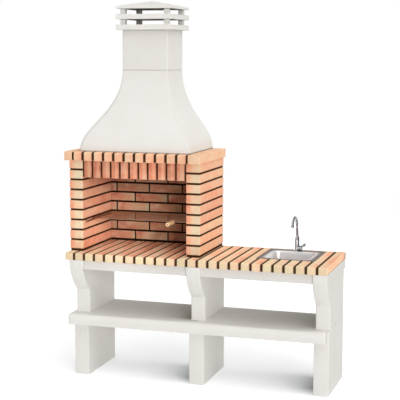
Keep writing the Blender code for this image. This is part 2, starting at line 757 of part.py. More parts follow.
def build_cap(finish, parent):
    """Two vented rings, each with four corner posts, and the pyramid on top."""
    left, right = FLUE_LEFT - RING_OVERHANG, FLUE_LEFT + FLUE_WIDTH + RING_OVERHANG
    front, back = FLUE_FRONT - RING_OVERHANG, DEPTH + RING_OVERHANG
    hole = RING_OVERHANG + FLUE_WALL
    near_post, far_post = POST_INSET, POST_INSET + POST_WIDTH

    def lines(low, high):
        marks = (0, near_post, far_post, hole)
        return [low + mark for mark in marks] + [high - mark for mark in marks]

    for i, name in enumerate(("cap_ring_lower", "cap_ring_upper")):
        bottom = FLUE_TOP + SEAT + i * RING_PITCH
        plate = bottom + RING_THICKNESS
        post_top = bottom + RING_PITCH - SEAT

        def is_ring(x, y, z):
            edge_x = min(x - left, right - x)
            edge_y = min(y - front, back - y)
            if z < plate:
                return min(edge_x, edge_y) < hole
            return near_post < edge_x < far_post and near_post < edge_y < far_post

        ring = cells(lines(left, right), lines(front, back), [bottom, plate, post_top], is_ring)
        add_object(name, ring, finish["concrete"], parent)

    bottom = FLUE_TOP + SEAT + 2 * RING_PITCH
    middle_x, middle_y = (left + right) / 2, (front + back) / 2
    half = CAP_PEAK / 2
    peak = rectangle(middle_x - half, middle_x + half, middle_y - half, middle_y + half)
    plan = rectangle(left, right, front, back)
    rings = [
        placed(plan, "Z", bottom), placed(plan, "Z", bottom + CAP_EDGE),
        placed(peak, "Z", bottom + CAP_EDGE + CAP_RISE),
    ]
    add_object("cap_top", loft(rings), finish["concrete"], parent)


def build_sink(finish, parent):
    """Pressed steel sink: a flat rim with a ledge behind, and a drafted bowl."""
    left, right = SINK_RIM_LEFT + SINK_BOWL_MARGIN, SINK_RIM_RIGHT - SINK_BOWL_MARGIN
    front, back = SINK_RIM_FRONT + SINK_BOWL_MARGIN, SINK_RIM_REAR - SINK_LEDGE

    def bowl(inset, radius, grow=0):
        grown = inset - grow
        return rounded_rectangle(
            left + grown, right - grown, front + grown, back - grown, radius + grow,
            SINK_CORNER_STEPS,
        )

    rim = rounded_rectangle(
        SINK_RIM_LEFT, SINK_RIM_RIGHT, SINK_RIM_FRONT, SINK_RIM_REAR, SINK_RIM_RADIUS,
        SINK_CORNER_STEPS,
    )
    curve = SINK_FLOOR + SINK_FLOOR_RADIUS
    drop = SINK_FLOOR_RADIUS * (1 - math.sqrt(0.5))
    foot = SINK_BOWL_DRAFT + SINK_FLOOR_RADIUS
    floor_corner = SINK_CORNER_RADIUS / 2
    inside = [
        placed(bowl(0, SINK_CORNER_RADIUS), "Z", SINK_RIM_TOP),
        placed(bowl(SINK_BOWL_DRAFT, SINK_CORNER_RADIUS), "Z", curve),
        placed(bowl(SINK_BOWL_DRAFT + drop, SINK_CORNER_RADIUS), "Z", SINK_FLOOR + drop),
        placed(bowl(foot, floor_corner), "Z", SINK_FLOOR),
    ]
    outside = [
        placed(bowl(foot, floor_corner, SINK_SHEET), "Z", SINK_FLOOR - SINK_SHEET),
        placed(bowl(SINK_BOWL_DRAFT + drop, SINK_CORNER_RADIUS, SINK_SHEET), "Z",
               SINK_FLOOR + drop - SINK_SHEET),
        placed(bowl(SINK_BOWL_DRAFT, SINK_CORNER_RADIUS, SINK_SHEET), "Z", curve),
        placed(bowl(0, SINK_CORNER_RADIUS, SINK_SHEET), "Z", SINK_RIM_BOTTOM),
    ]
    # The round hole starts where the rounded corners start, so the floor isn't twisted
    hole = circle(SINK_CENTRE, WASTE_Y, WASTE_HOLE_RADIUS, len(rim))
    shift = len(rim) // 8 + SINK_CORNER_STEPS // 2
    hole = hole[-shift:] + hole[:-shift]
    rings = [placed(hole, "Z", SINK_FLOOR)] + inside[::-1] + [placed(rim, "Z", SINK_RIM_TOP)]
    rings += [placed(rim, "Z", SINK_RIM_BOTTOM)] + outside[::-1]
    rings += [placed(hole, "Z", SINK_FLOOR - SINK_SHEET)]
    sink = add_object("sink_bowl", loft(rings, closed=True), finish["steel"], parent, smooth=True)
    ends = (SINK_RIM_BOTTOM - CUT_OVERRUN, SINK_RIM_TOP + CUT_OVERRUN)
    drill = turned([(TAP_HOLE_RADIUS, z) for z in ends], "Z", (SINK_CENTRE, TAP_Y))
    cut(sink, add_object("tap_hole", drill, finish["steel"], parent))

    centre = (SINK_CENTRE, WASTE_Y)
    bottom = SINK_FLOOR - SINK_SHEET - WASTE_LENGTH
    nut_top = SINK_FLOOR - SINK_SHEET - SEAT
    waste = [
        (WASTE_BORE_RADIUS, WASTE_TOP), (WASTE_FLANGE_RADIUS, WASTE_TOP),
        (WASTE_FLANGE_RADIUS, SINK_FLOOR + SEAT), (WASTE_SLEEVE_RADIUS, SINK_FLOOR + SEAT),
        (WASTE_SLEEVE_RADIUS, nut_top), (WASTE_NUT_RADIUS, nut_top),
        (WASTE_NUT_RADIUS, nut_top - WASTE_NUT), (WASTE_SLEEVE_RADIUS, nut_top - WASTE_NUT),
        (WASTE_SLEEVE_RADIUS, bottom), (WASTE_BORE_RADIUS, bottom),
    ]
    bm = turned(waste, "Z", centre, sides=len(rim), hollow=True)
    add_object("sink_waste", bm, finish["steel"], parent, smooth=True)

    seat = WASTE_TOP + SEAT
    stem = WASTE_BORE_RADIUS - SEAT
    plug = [
        (stem - PLUG_DRAFT, seat - PLUG_STEM), (stem, seat), (WASTE_FLANGE_RADIUS - SEAT, seat),
        (WASTE_FLANGE_RADIUS - PLUG_DRAFT, seat + PLUG_HEIGHT), (PLUG_KNOB_NECK, seat + PLUG_HEIGHT),
        (PLUG_KNOB_NECK, seat + PLUG_KNOB_HEIGHT - PLUG_KNOB_NECK),
        (PLUG_KNOB_RADIUS, seat + PLUG_KNOB_HEIGHT - PLUG_KNOB_NECK / 2),
        (PLUG_KNOB_NECK, seat + PLUG_KNOB_HEIGHT),
    ]
    bm = turned(plug, "Z", centre, sides=len(rim))
    add_object("sink_plug", bm, finish["rubber"], parent, origin=(*centre, seat), smooth=True)


def build_tap(finish, parent):
    """Tap body and back nut, swivelling spout, and the cartridge with its lever."""
    centre = (SINK_CENTRE, TAP_Y)
    shank_end = SINK_RIM_BOTTOM - TAP_SHANK
    body = [
        (TAP_SHANK_RADIUS, shank_end), (TAP_SHANK_RADIUS, TAP_BOTTOM),
        (TAP_FOOT_RADIUS, TAP_BOTTOM), (TAP_FOOT_RADIUS, TAP_BOTTOM + TAP_FOOT / 2),
        (TAP_BODY_RADIUS, TAP_BOTTOM + TAP_FOOT), (TAP_BODY_RADIUS, TAP_TOP - TAP_FOOT),
        (SPOUT_COLLAR_RADIUS, TAP_TOP),
    ]
    tap = add_object("tap_body", turned(body, "Z", centre), finish["chrome"], parent, smooth=True)
    barrel = turned([(BARREL_RADIUS, SINK_CENTRE), (BARREL_RADIUS, BARREL_END)], "X", (TAP_Y, BARREL_Z))
    cut(tap, add_object("tap_barrel", barrel, finish["chrome"], parent), "UNION")

    nut_top = SINK_RIM_BOTTOM - SEAT
    bore = TAP_SHANK_RADIUS + SEAT
    nut = [(bore, nut_top), (TAP_NUT_RADIUS, nut_top), (TAP_NUT_RADIUS, nut_top - TAP_NUT)]
    nut.append((bore, nut_top - TAP_NUT))
    bm = turned(nut, "Z", centre, sides=NUT_SIDES * 4, hollow=True)
    add_object("tap_back_nut", bm, finish["chrome"], parent)

    # The spout rises, bends over and ends in the aerator, all on one pivot
    collar_bottom = TAP_TOP + SEAT
    bend_z = collar_bottom + SPOUT_COLLAR + SPOUT_RISE
    bend = math.radians(SPOUT_BEND_DEGREES)
    path = [(SINK_CENTRE, TAP_Y, collar_bottom + SPOUT_COLLAR / 2)]
    for y, z in arc((TAP_Y - SPOUT_BEND_RADIUS, bend_z), SPOUT_BEND_RADIUS, 0, bend, SPOUT_STEPS):
        path.append((SINK_CENTRE, y, z))
    bm = pipe(path, SPOUT_RADIUS, (1, 0, 0))
    spout = add_object("tap_spout", bm, finish["chrome"], parent, (*centre, collar_bottom), True)
    collar = [(SPOUT_COLLAR_RADIUS, collar_bottom), (SPOUT_COLLAR_RADIUS, collar_bottom + SPOUT_COLLAR)]
    collar = add_object("spout_collar", turned(collar, "Z", centre), finish["chrome"], parent)
    cut(spout, collar, "UNION")
    tip = Vector(path[-1])
    heading = Vector((0, -math.sin(bend), math.cos(bend)))
    start, end = tip - heading * SPOUT_RADIUS, tip + heading * (AERATOR - SPOUT_RADIUS)
    bm = pipe([start, end], AERATOR_RADIUS, (1, 0, 0))
    cut(spout, add_object("spout_aerator", bm, finish["chrome"], parent), "UNION")

    # The cartridge cap turns about the barrel's axis, and the lever tilts on it
    cap_start = BARREL_END + SEAT
    slot = LEVER_THICKNESS / 2 + SEAT
    cap = turned(
        [(CARTRIDGE_RADIUS, cap_start), (CARTRIDGE_RADIUS, cap_start + CARTRIDGE)], "X", (TAP_Y, BARREL_Z)
    )
    pivot = (LEVER_PIVOT_X, TAP_Y, BARREL_Z)
    cartridge = add_object("tap_cartridge_cap", cap, finish["chrome"], parent, pivot, True)
    swing = CARTRIDGE_RADIUS / 2
    notch = prism(
        rectangle(LEVER_PIVOT_X - slot, LEVER_PIVOT_X + CARTRIDGE, BARREL_Z + swing,
                  BARREL_Z + CARTRIDGE_RADIUS + CUT_OVERRUN),
        "Y", TAP_Y - LEVER_WIDTH / 2 - SEAT, TAP_Y + LEVER_WIDTH / 2 + SEAT,
    )
    cut(cartridge, add_object("lever_notch", notch, finish["chrome"], parent))

    lean = math.radians(LEVER_LEAN_DEGREES)
    along = Vector((math.sin(lean), 0, math.cos(lean)))
    across = Vector((math.cos(lean), 0, -math.sin(lean)))
    heel_z = BARREL_Z + swing + SEAT
    root = Vector((LEVER_PIVOT_X, TAP_Y, heel_z)) + across * LEVER_THICKNESS / 2
    rings = []
    for share, width in ((0, 1), (1, LEVER_TIP_SHARE)):
        middle = root + along * (LEVER_LENGTH * share)
        half_width = LEVER_WIDTH * width / 2
        half_thick = LEVER_THICKNESS * width / 2
        rings.append(
            [
                middle + Vector((0, side * half_width, 0)) + across * (face * half_thick)
                for side, face in ((-1, -1), (1, -1), (1, 1), (-1, 1))
            ]
        )
    # The root is cut level to stand on the notch's floor, and tilts about its outer heel
    for point in rings[0]:
        point.z = heel_z
    heel = (LEVER_PIVOT_X + LEVER_THICKNESS * math.cos(lean), TAP_Y, heel_z)
    add_object("tap_lever", loft(rings), finish["chrome"], parent, heel, True)


def build_grate(finish, parent):
    """Grate with its square tang, its wooden handle and the two rails."""
    inner_left, inner_right = GRATE_LEFT + GRATE_FRAME, GRATE_RIGHT - GRATE_FRAME
    inner_front, inner_back = GRATE_FRONT + GRATE_FRAME, GRATE_BACK - GRATE_FRAME
    wire_pitch = (inner_right - inner_left) / (GRATE_WIRES + 1)
    wires = [inner_left + wire_pitch * (i + 1) for i in range(GRATE_WIRES)]
    rod_pitch = (inner_back - inner_front) / (GRATE_CROSS_RODS + 1)
    rods = [inner_front + rod_pitch * (i + 1) for i in range(GRATE_CROSS_RODS)]
    half = GRATE_WIRE / 2
    xs = [GRATE_LEFT, inner_left, inner_right, GRATE_RIGHT]
    for x in wires:
        xs += [x - half, x + half]
    ys = [GRATE_FRONT, inner_front, inner_back, GRATE_BACK]
    for y in rods:
        ys += [y - half, y + half]

    def is_bar(x, y, z):
        if not (inner_left < x < inner_right and inner_front < y < inner_back):
            return True
        return any(abs(x - w) < half for w in wires) or any(abs(y - r) < half for r in rods)

    bm = cells(xs, ys, [GRATE_BOTTOM, GRATE_TOP], is_bar)
    origin = ((GRATE_LEFT + GRATE_RIGHT) / 2, GRATE_FRONT, GRATE_BOTTOM)
    grate = add_object("grill_grate", bm, finish["steel"], parent, origin)
    middle_z = (GRATE_BOTTOM + GRATE_TOP) / 2
    low, high = middle_z - TANG / 2, middle_z + TANG / 2
    tang_outline = rectangle(HANDLE_X - TANG / 2, HANDLE_X + TANG / 2, low, high)
    tang = prism(tang_outline, "Y", HANDLE_FRONT, GRATE_FRONT + GRATE_FRAME / 2)
    cut(grate, add_object("grill_tang", tang, finish["steel"], parent), "UNION")

    end = HANDLE_END_RADIUS
    profile = [
        (HANDLE_BORE_RADIUS, HANDLE_FRONT), (HANDLE_RADIUS - end, HANDLE_FRONT),
        (HANDLE_RADIUS, HANDLE_FRONT + end), (HANDLE_RADIUS, HANDLE_REAR - end),
        (HANDLE_RADIUS - end, HANDLE_REAR), (HANDLE_BORE_RADIUS, HANDLE_REAR),
    ]
    bm = turned(profile, "Y", (HANDLE_X, middle_z), hollow=True)
    add_object("grill_handle", bm, finish["wood"], parent, origin, smooth=True)

    for side, wall, into in (("left", CAVITY_LEFT, -1), ("right", CAVITY_RIGHT, 1)):
        line = wall - into * RAIL_STANDOFF
        socket_end = wall + into * (RAIL_SOCKET_DEPTH - SEAT)
        bend = RAIL_BEND_RADIUS
        path = [(socket_end, RAIL_FRONT, RAIL_Z)]
        for i in range(RAIL_BEND_STEPS + 1):
            turn = math.pi / 2 * i / RAIL_BEND_STEPS
            x = line + into * bend * (1 - math.sin(turn))
            path.append((x, RAIL_FRONT + bend * (1 - math.cos(turn)), RAIL_Z))
        back = [(x, RAIL_FRONT + RAIL_BACK - y, z) for x, y, z in path[::-1]]
        bm = pipe(path + back, RAIL_RADIUS, (0, 0, 1))
        add_object(f"grill_rail_{side}", bm, finish["steel"], parent, smooth=True)


def build_all():
    """Make every piece and carry it to the model's own frame."""
    clear_scene()
    finish = {
        "concrete": make_material("concrete", (0.80, 0.78, 0.74), 0.85, 0.0),
        "brick": make_material("brick", (0.80, 0.45, 0.28), 0.90, 0.0),
        "mortar": make_material("mortar", (0.09, 0.05, 0.03), 0.95, 0.0),
        "steel": make_material("steel", (0.62, 0.62, 0.62), 0.30, 1.0),
        "chrome": make_material("chrome", (0.75, 0.75, 0.76), 0.10, 1.0),
        "rubber": make_material("rubber", (0.03, 0.03, 0.03), 0.60, 0.0),
        "wood": make_material("wood", (0.60, 0.38, 0.20), 0.65, 0.0),
    }
    frame = bpy.data.objects.new("frame", None)
    bpy.context.collection.objects.link(frame)
    middle_x = (RIGHT_END - CROWN_SIDE_OVERHANG) / 2
    middle_y = (DEPTH + RING_OVERHANG) / 2
    frame.location = (-middle_x, -middle_y, 0)

    for side, centre in LEG_CENTRES.items():
        build_lower_leg(f"lower_leg_{side}", centre, finish["concrete"], frame)
        build_upper_leg(f"upper_leg_{side}", centre, finish["concrete"], frame)
    build_shelf(finish["concrete"], frame)
    build_worktop(finish, frame)
    for side in ("left", "right"):
        build_column(side, finish, frame)
    build_back_wall(finish, frame)
    build_lintel(finish, frame)
    build_crown(finish, frame)
    build_hood(finish, frame)
    build_flue(finish, frame)
    build_cap(finish, frame)
    build_sink(finish, frame)
    build_tap(finish, frame)
    build_grate(finish, frame)


build_all()
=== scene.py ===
"""Outdoor masonry barbecue: fine shapes, finishes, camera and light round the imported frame.

Lengths are in metres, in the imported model's own frame: X along the worktop from the firebox
to the sink, Y from the front to the wall behind, Z up from the ground.
"""

from __future__ import annotations

import logging
import math
import random
from dataclasses import asdict, dataclass, field
from enum import Enum
from functools import cache
from typing import Callable, Sequence

import bmesh
import bpy
import numpy as np
from mathutils import Matrix, Vector, noise


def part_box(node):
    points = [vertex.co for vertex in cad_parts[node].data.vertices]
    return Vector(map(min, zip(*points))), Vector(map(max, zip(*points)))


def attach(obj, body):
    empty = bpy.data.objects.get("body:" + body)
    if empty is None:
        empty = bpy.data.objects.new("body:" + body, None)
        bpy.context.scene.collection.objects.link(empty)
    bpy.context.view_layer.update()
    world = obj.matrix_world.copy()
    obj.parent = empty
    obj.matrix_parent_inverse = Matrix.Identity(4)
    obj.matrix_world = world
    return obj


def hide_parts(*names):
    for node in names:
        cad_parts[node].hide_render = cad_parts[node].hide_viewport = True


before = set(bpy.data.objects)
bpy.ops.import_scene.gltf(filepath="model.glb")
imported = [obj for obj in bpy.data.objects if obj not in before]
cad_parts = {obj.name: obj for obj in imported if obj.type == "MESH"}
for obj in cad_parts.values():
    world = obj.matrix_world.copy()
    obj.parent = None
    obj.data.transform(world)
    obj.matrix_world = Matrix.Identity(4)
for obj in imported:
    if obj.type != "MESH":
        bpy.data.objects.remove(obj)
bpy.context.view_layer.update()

LOG = logging.getLogger("barbecue")

# The gap that the frame leaves between pieces, and the least step that is worth modelling.
SEAT = 0.0003
FINE = 0.0010

Array = np.ndarray
Socket = bpy.types.NodeSocket
Flat = tuple[float, float]
Corner = tuple[float, float, float]
Colour = tuple[int, int, int]
Light = tuple[float, float, float, float]
Keep = Callable[[float, float, float], bool]
Rule = Callable[[Array], Array]
Warmth = Callable[[Array, Array], Array]


class Slot(Enum):
    """The record's material slots."""

    CONCRETE = "concrete"
    WALL_BRICK = "wall_brick"
    WORKTOP_BRICK = "worktop_brick"
    MORTAR = "mortar"
    SINK_STEEL = "sink_steel"
    TAP_CHROME = "tap_chrome"
    GRILL_STEEL = "grill_steel"
    HANDLE_WOOD = "handle_wood"
    PLUG = "plug"


class Body(Enum):
    """The bodies that pieces ride on."""

    MASONRY = "masonry"
    GRILL = "grill"
    SPOUT = "spout"
    MIXER = "mixer"
    LEVER = "lever"
    PLUG = "plug"


class Axis(Enum):
    """The way a bar runs: the two axes of its section, then its own."""

    X = (1, 2, 0)
    Y = (0, 2, 1)
    Z = (0, 1, 2)


class Side(Enum):
    """Which end of the firebox, with the way from its mouth into that wall."""

    LEFT = -1
    RIGHT = 1

    @property
    def word(self) -> str:
        """The side as it stands in a name."""
        return self.name.lower()


# Shapes


def unit(values: Array) -> Array:
    """Numbers kept between 0 and 1."""
    return np.clip(values, 0.0, 1.0)


def smooth(share: Array | float) -> Array | float:
    """A share from 0 to 1 that starts and ends gently."""
    return share * share * (3 - 2 * share)


def peak(values: Array, place: float, width: float) -> Array:
    """A soft band that is 1 at a place and fades over a width."""
    return np.exp(-(((values - place) / width) ** 2))


def facing(outs: Array, axis: int, way: float) -> Array:
    """How much each point faces one way along an axis, from 0 to 1."""
    return unit(outs[:, axis] * way)


def blend_by(outs: Array, axis: int, way: float) -> Array:
    """The same, with a gentle start and end."""
    return smooth(facing(outs, axis, way))


def level(flat: Array, z: float) -> Array:
    """A flat outline at a height."""
    return np.column_stack([flat, np.full(len(flat), z)])


def turned(share: float) -> Flat:
    """How far in and how far along a quarter round is, at a share of its turn."""
    lean = math.pi / 2 * share
    return 1 - math.cos(lean), 1 - math.sin(lean)


def corner_dots(corner: Corner, came: Vector, goes: Vector, bend: int) -> list[tuple]:
    """Points round one corner of a line.

    Args:
        corner: Its place and radius; 0 keeps it sharp.
        came: The way the line comes in.
        goes: The way it leaves.
        bend: Steps round the corner.

    Returns:
        Each point with the way out there and a mask that is 1 on the corner.
    """
    place, out = Vector(corner[:2]), Vector((came.y, -came.x))
    turn = math.atan2(came.cross(goes), came.dot(goes))
    if corner[2] <= 0:
        mitre = (out + Vector((goes.y, -goes.x))).normalized() / max(math.cos(turn / 2), 0.3)
        return [(place, mitre, min(1.0, abs(turn)))]
    radius = math.copysign(corner[2], turn)
    centre = place - came * (radius * math.tan(turn / 2)) - out * radius
    dots = []
    for k in range(bend + 1):
        way = Matrix.Rotation(turn * k / bend, 2) @ out
        dots.append((centre + way * radius, way, math.sin(math.pi * k / bend)))
    return dots


def round_off(
    corners: Sequence[Corner], closed: bool, step: float, bend: int
) -> tuple[Array, Array, Array]:
    """Round the corners of a line and space points along its straight runs.

    Args:
        corners: Places with their radii, anticlockwise if closed; 0 keeps a corner sharp.
        closed: Whether the last corner joins the first.
        step: Longest gap between points on a straight run.
        bend: Steps round each rounded corner.

    Returns:
        The points, the way out at each, and a mask that is 1 on the corners.
    """
    places = [Vector(corner[:2]) for corner in corners]
    count = len(places)
    ways = [(places[(i + 1) % count] - places[i]).normalized() for i in range(count)]
    rounds = []
    for i, corner in enumerate(corners):
        if closed or 0 < i < count - 1:
            rounds.append(corner_dots(corner, ways[i - 1], ways[i], bend))
        else:
            way = ways[0] if i == 0 else ways[i - 1]
            rounds.append([(places[i], Vector((way.y, -way.x)), 0.0)])
    dots = []
    for i, around in enumerate(rounds):
        dots += [(point[:], way[:], mask) for point, way, mask in around]
        if not closed and i == count - 1:
            break
        start, end = around[-1][0], rounds[(i + 1) % count][0][0]
        steps = max(1, math.ceil((end - start).length / step))
        out = (ways[i].y, -ways[i].x)
        dots += [(start.lerp(end, k / steps)[:], out, 0.0) for k in range(1, steps)]
    points, outs, edge = zip(*dots)
    return np.array(points), np.array(outs), np.array(edge)


@dataclass(frozen=True)
class Section:
    """A closed outline, with the way out and an edge mask at each point."""

    points: Array
    outs: Array
    edge: Array

    @classmethod
    def of(cls, corners: Sequence[Corner], step: float = 0.01, bend: int = 4) -> Section:
        """An outline from its corners, anticlockwise, each with its radius."""
        return cls(*round_off(corners, True, step, bend))

    @classmethod
    def box(cls, low: Flat, high: Flat, radius: float, step: float = 0.01, bend: int = 4) -> Section:
        """A rectangle with four equal round corners."""
        corners = ((low[0], low[1]), (high[0], low[1]), (high[0], high[1]), (low[0], high[1]))
        return cls.of([(*corner, radius) for corner in corners], step, bend)

    def inset(self, depth: float) -> Array:
        """The outline's points moved in by a depth."""
        return self.points - self.outs * depth

    def shifted(self, start: float) -> Section:
        """The same outline further along its first axis."""
        return Section(self.points + np.array([start, 0.0]), self.outs, self.edge)


@dataclass
class Patch:
    """Part of a mesh: its points, faces, ways out and edge mask."""

    points: Array
    faces: list[tuple[int, ...]]
    outs: Array
    edge: Array

    @classmethod
    def bare(cls, points: Array, faces: list[tuple[int, ...]]) -> Patch:
        """A patch that keeps no ways out and no edge mask."""
        return cls(points, faces, np.zeros_like(points), np.zeros(len(points)))

    def worn(self, depth: float, chips: float, grain: float, seed: float) -> Patch:
        """The same patch with hollows and chipped edges, cut inwards only.

        Args:
            depth: Deepest hollow on a face.
            chips: Deepest chip on an edge.
            grain: Width of a hollow.
            seed: Shift through the noise.

        Returns:
            A new patch.
        """
        shift = Vector((seed, seed * 1.7, seed * 2.3))
        moved = self.points.copy()
        for i, (point, out, edge) in enumerate(zip(self.points, self.outs, self.edge)):
            where = Vector(point) / grain + shift
            dent = depth * (0.5 + 0.5 * noise.noise(where))
            if edge > 0.05:
                dent += chips * edge * max(0.0, noise.noise(where * 1.9) - 0.15)
            moved[i] -= out * dent
        return Patch(moved, self.faces, self.outs, self.edge)


def rings_patch(rings: Sequence[Array], closed: bool) -> Patch:
    """Skin rings of equal length.

    Args:
        rings: The rings in order, each with as many points.
        closed: Whether the last ring joins the first; if not, both ends are capped.

    Returns:
        A closed patch.
    """
    count = len(rings[0])
    points = np.concatenate(rings)
    faces = []
    for k in range(len(rings) if closed else len(rings) - 1):
        low, high = k * count, (k + 1) % len(rings) * count
        for i in range(count):
            j = (i + 1) % count
            faces.append((low + i, low + j, high + j, high + i))
    if not closed:
        faces.append(tuple(range(count))[::-1])
        faces.append(tuple(range(len(points) - count, len(points))))
    return Patch.bare(points, faces)


def bar(
    section: Section, axis: Axis, start: float, end: float, step: float = 0.01,
    rounding: float = 0.0, bend: int = 3, softness: Array | None = None,
) -> Patch:
    """A section carried along an axis, with its two ends rounded.

    Args:
        section: Outline across the axis.
        axis: The way the bar runs.
        start: Place of its first end.
        end: Place of its last end.
        step: Longest gap between rings.
        rounding: Radius round each end.
        bend: Steps of that rounding.
        softness: Share of that radius at each point of the outline, or None for all of it.

    Returns:
        A closed patch.
    """
    ends = []
    for k in range(bend + 1 if rounding else 1):
        lean = math.pi / 2 * k / bend if rounding else math.pi / 2
        ends.append((rounding * (1 - math.cos(lean)), rounding * (1 - math.sin(lean)), lean))
    middle = end - start - 2 * rounding
    steps = max(1, math.ceil(middle / step))
    stations = [(start + along, inset, lean, -1) for along, inset, lean in ends]
    for k in range(1, steps):
        stations.append((start + rounding + middle * k / steps, 0.0, math.pi / 2, 0))
    stations += [(end - along, inset, lean, 1) for along, inset, lean in ends[::-1]]
    first, second, own = axis.value
    rings, outs, edges = [], [], []
    lengths = np.linalg.norm(section.outs, axis=1, keepdims=True)
    for place, inset, lean, way in stations:
        ring = np.empty((len(section.points), 3))
        flat = section.inset(inset if softness is None else inset * softness[:, None])
        ring[:, first], ring[:, second], ring[:, own] = flat[:, 0], flat[:, 1], place
        out = np.empty_like(ring)
        even = section.outs / lengths * math.sin(lean)
        out[:, first], out[:, second], out[:, own] = even[:, 0], even[:, 1], way * math.cos(lean)
        rings.append(ring)
        outs.append(out)
        edges.append(np.maximum(section.edge * math.sin(lean), math.sin(2 * lean)))
    patch = rings_patch(rings, False)
    return Patch(patch.points, patch.faces, np.concatenate(outs), np.concatenate(edges))


def lathe(
    profile: Sequence[Corner], axis: Axis, centre: Flat, sides: int = 48, hollow: bool = False,
    bend: int = 4,
) -> Patch:
    """A turned piece.

    Args:
        profile: Radius, place along the axis and rounding of each corner.
        axis: The axis it turns about.
        centre: Where that axis passes, in the other two.
        sides: Points round each ring.
        hollow: Whether the profile closes on itself round a bore.
        bend: Steps round each rounded corner.

    Returns:
        A closed patch.
    """
    turns = np.linspace(0, 2 * math.pi, sides, endpoint=False)
    first, second, own = axis.value
    rings = []
    for radius, place in round_off(profile, hollow, 1.0, bend)[0]:
        ring = np.empty((sides, 3))
        ring[:, first] = centre[0] + radius * np.cos(turns)
        ring[:, second] = centre[1] + radius * np.sin(turns)
        ring[:, own] = place
        rings.append(ring)
    return rings_patch(rings, hollow)


def circle(centre: Vector, across: Vector, side: Vector, radius: float, sides: int) -> Array:
    """A ring of points round a centre, in the plane of two ways."""
    turns = [2 * math.pi * k / sides for k in range(sides)]
    return np.array([(centre + radius * (math.cos(t) * across + math.sin(t) * side))[:] for t in turns])


def tube(path: Sequence[Vector], radius: float, sides: int = 24) -> Patch:
    """A round bar along a path, with flat ends.

    Args:
        path: Points along its middle.
        radius: Half its thickness.
        sides: Points round each ring.

    Returns:
        A closed patch.
    """
    across = (path[1] - path[0]).orthogonal().normalized()
    rings = []
    for i, point in enumerate(path):
        heading = (path[min(i + 1, len(path) - 1)] - path[max(i - 1, 0)]).normalized()
        across = (across - heading * across.dot(heading)).normalized()
        rings.append(circle(point, across, heading.cross(across), radius, sides))
    return rings_patch(rings, False)


def blocks(xs: Sequence[float], ys: Sequence[float], zs: Sequence[float], keep: Keep) -> Patch:
    """The cells of a grid whose middles pass a test, as one skin without inner faces.

    Args:
        xs: Grid lines across X, in any order.
        ys: Grid lines across Y.
        zs: Grid lines across Z.
        keep: The test.

    Returns:
        A closed patch.
    """
    lines = [sorted(set(values)) for values in (xs, ys, zs)]
    counts = [len(line) - 1 for line in lines]
    corners: dict[tuple[int, ...], int] = {}
    faces = []

    def filled(index: Sequence[int]) -> bool:
        """Whether a cell is solid."""
        if any(not 0 <= index[a] < counts[a] for a in range(3)):
            return False
        return keep(*[(lines[a][index[a]] + lines[a][index[a] + 1]) / 2 for a in range(3)])

    for index in np.ndindex(*counts):
        if not filled(index):
            continue
        for a in range(3):
            b, c = [other for other in range(3) if other != a]
            for step in (0, 1):
                beside = list(index)
                beside[a] += 2 * step - 1
                if filled(beside):
                    continue
                quad = []
                for db, dc in ((0, 0), (1, 0), (1, 1), (0, 1)):
                    at = list(index)
                    at[a], at[b], at[c] = at[a] + step, at[b] + db, at[c] + dc
                    quad.append(corners.setdefault(tuple(at), len(corners)))
                faces.append(tuple(quad))
    return Patch.bare(np.array([[lines[a][at[a]] for a in range(3)] for at in corners]), faces)


class Shell:
    """A mesh in the making, with values that ride on its points."""

    def __init__(self) -> None:
        """Start empty."""
        self.points: list[Array] = []
        self.faces: list[tuple[int, ...]] = []
        self.values: dict[str, list[Array]] = {}
        self.size = 0

    def add(self, patch: Patch, **values: Array | float) -> Shell:
        """Join a patch to the mesh.

        Args:
            patch: The part to join.
            **values: Named values, one for all its points or one for each.

        Returns:
            This shell.
        """
        count = len(patch.points)
        self.points.append(patch.points)
        self.faces.extend(tuple(i + self.size for i in face) for face in patch.faces)
        self.size += count
        for name, value in values.items():
            whole = np.full(count, value) if np.isscalar(value) else np.asarray(value)
            self.values.setdefault(name, []).append(whole)
        return self

    def paint(self, name: str, rule: Rule) -> None:
        """Raise a value on every point to what a rule on its place gives."""
        pairs = zip(self.values[name], self.points)
        self.values[name] = [np.maximum(value, rule(points)) for value, points in pairs]

    def make(self, name: str, sharp: float = 35.0) -> bpy.types.Object:
        """Turn the mesh into an object with its faces pointing out.

        Args:
            name: The object's name.
            sharp: Angle in degrees past which an edge stays sharp.

        Returns:
            The object.
        """
        mesh = bpy.data.meshes.new(name)
        mesh.from_pydata(np.concatenate(self.points).tolist(), [], self.faces)
        for value_name, parts in self.values.items():
            whole = np.concatenate(parts).astype(np.float32)
            kind = "FLOAT_VECTOR" if whole.ndim == 2 else "FLOAT"
            layer = mesh.attributes.new(value_name, kind, "POINT")
            layer.data.foreach_set("vector" if whole.ndim == 2 else "value", whole.ravel())
        bm = bmesh.new()
        bm.from_mesh(mesh)
        bmesh.ops.recalc_face_normals(bm, faces=bm.faces)
        bm.to_mesh(mesh)
        bm.free()
        mesh.shade_smooth()
        mesh.set_sharp_from_angle(angle=math.radians(sharp))
        thing = bpy.data.objects.new(name, mesh)
        bpy.context.collection.objects.link(thing)
        return thing


# Finishes


def linear(colour: Colour) -> Light:
    """A colour written as 0 to 255 on screen, as the shader wants it."""
    shares = [part / 255 for part in colour]
    return (*(s / 12.92 if s <= 0.04045 else ((s + 0.055) / 1.055) ** 2.4 for s in shares), 1.0)


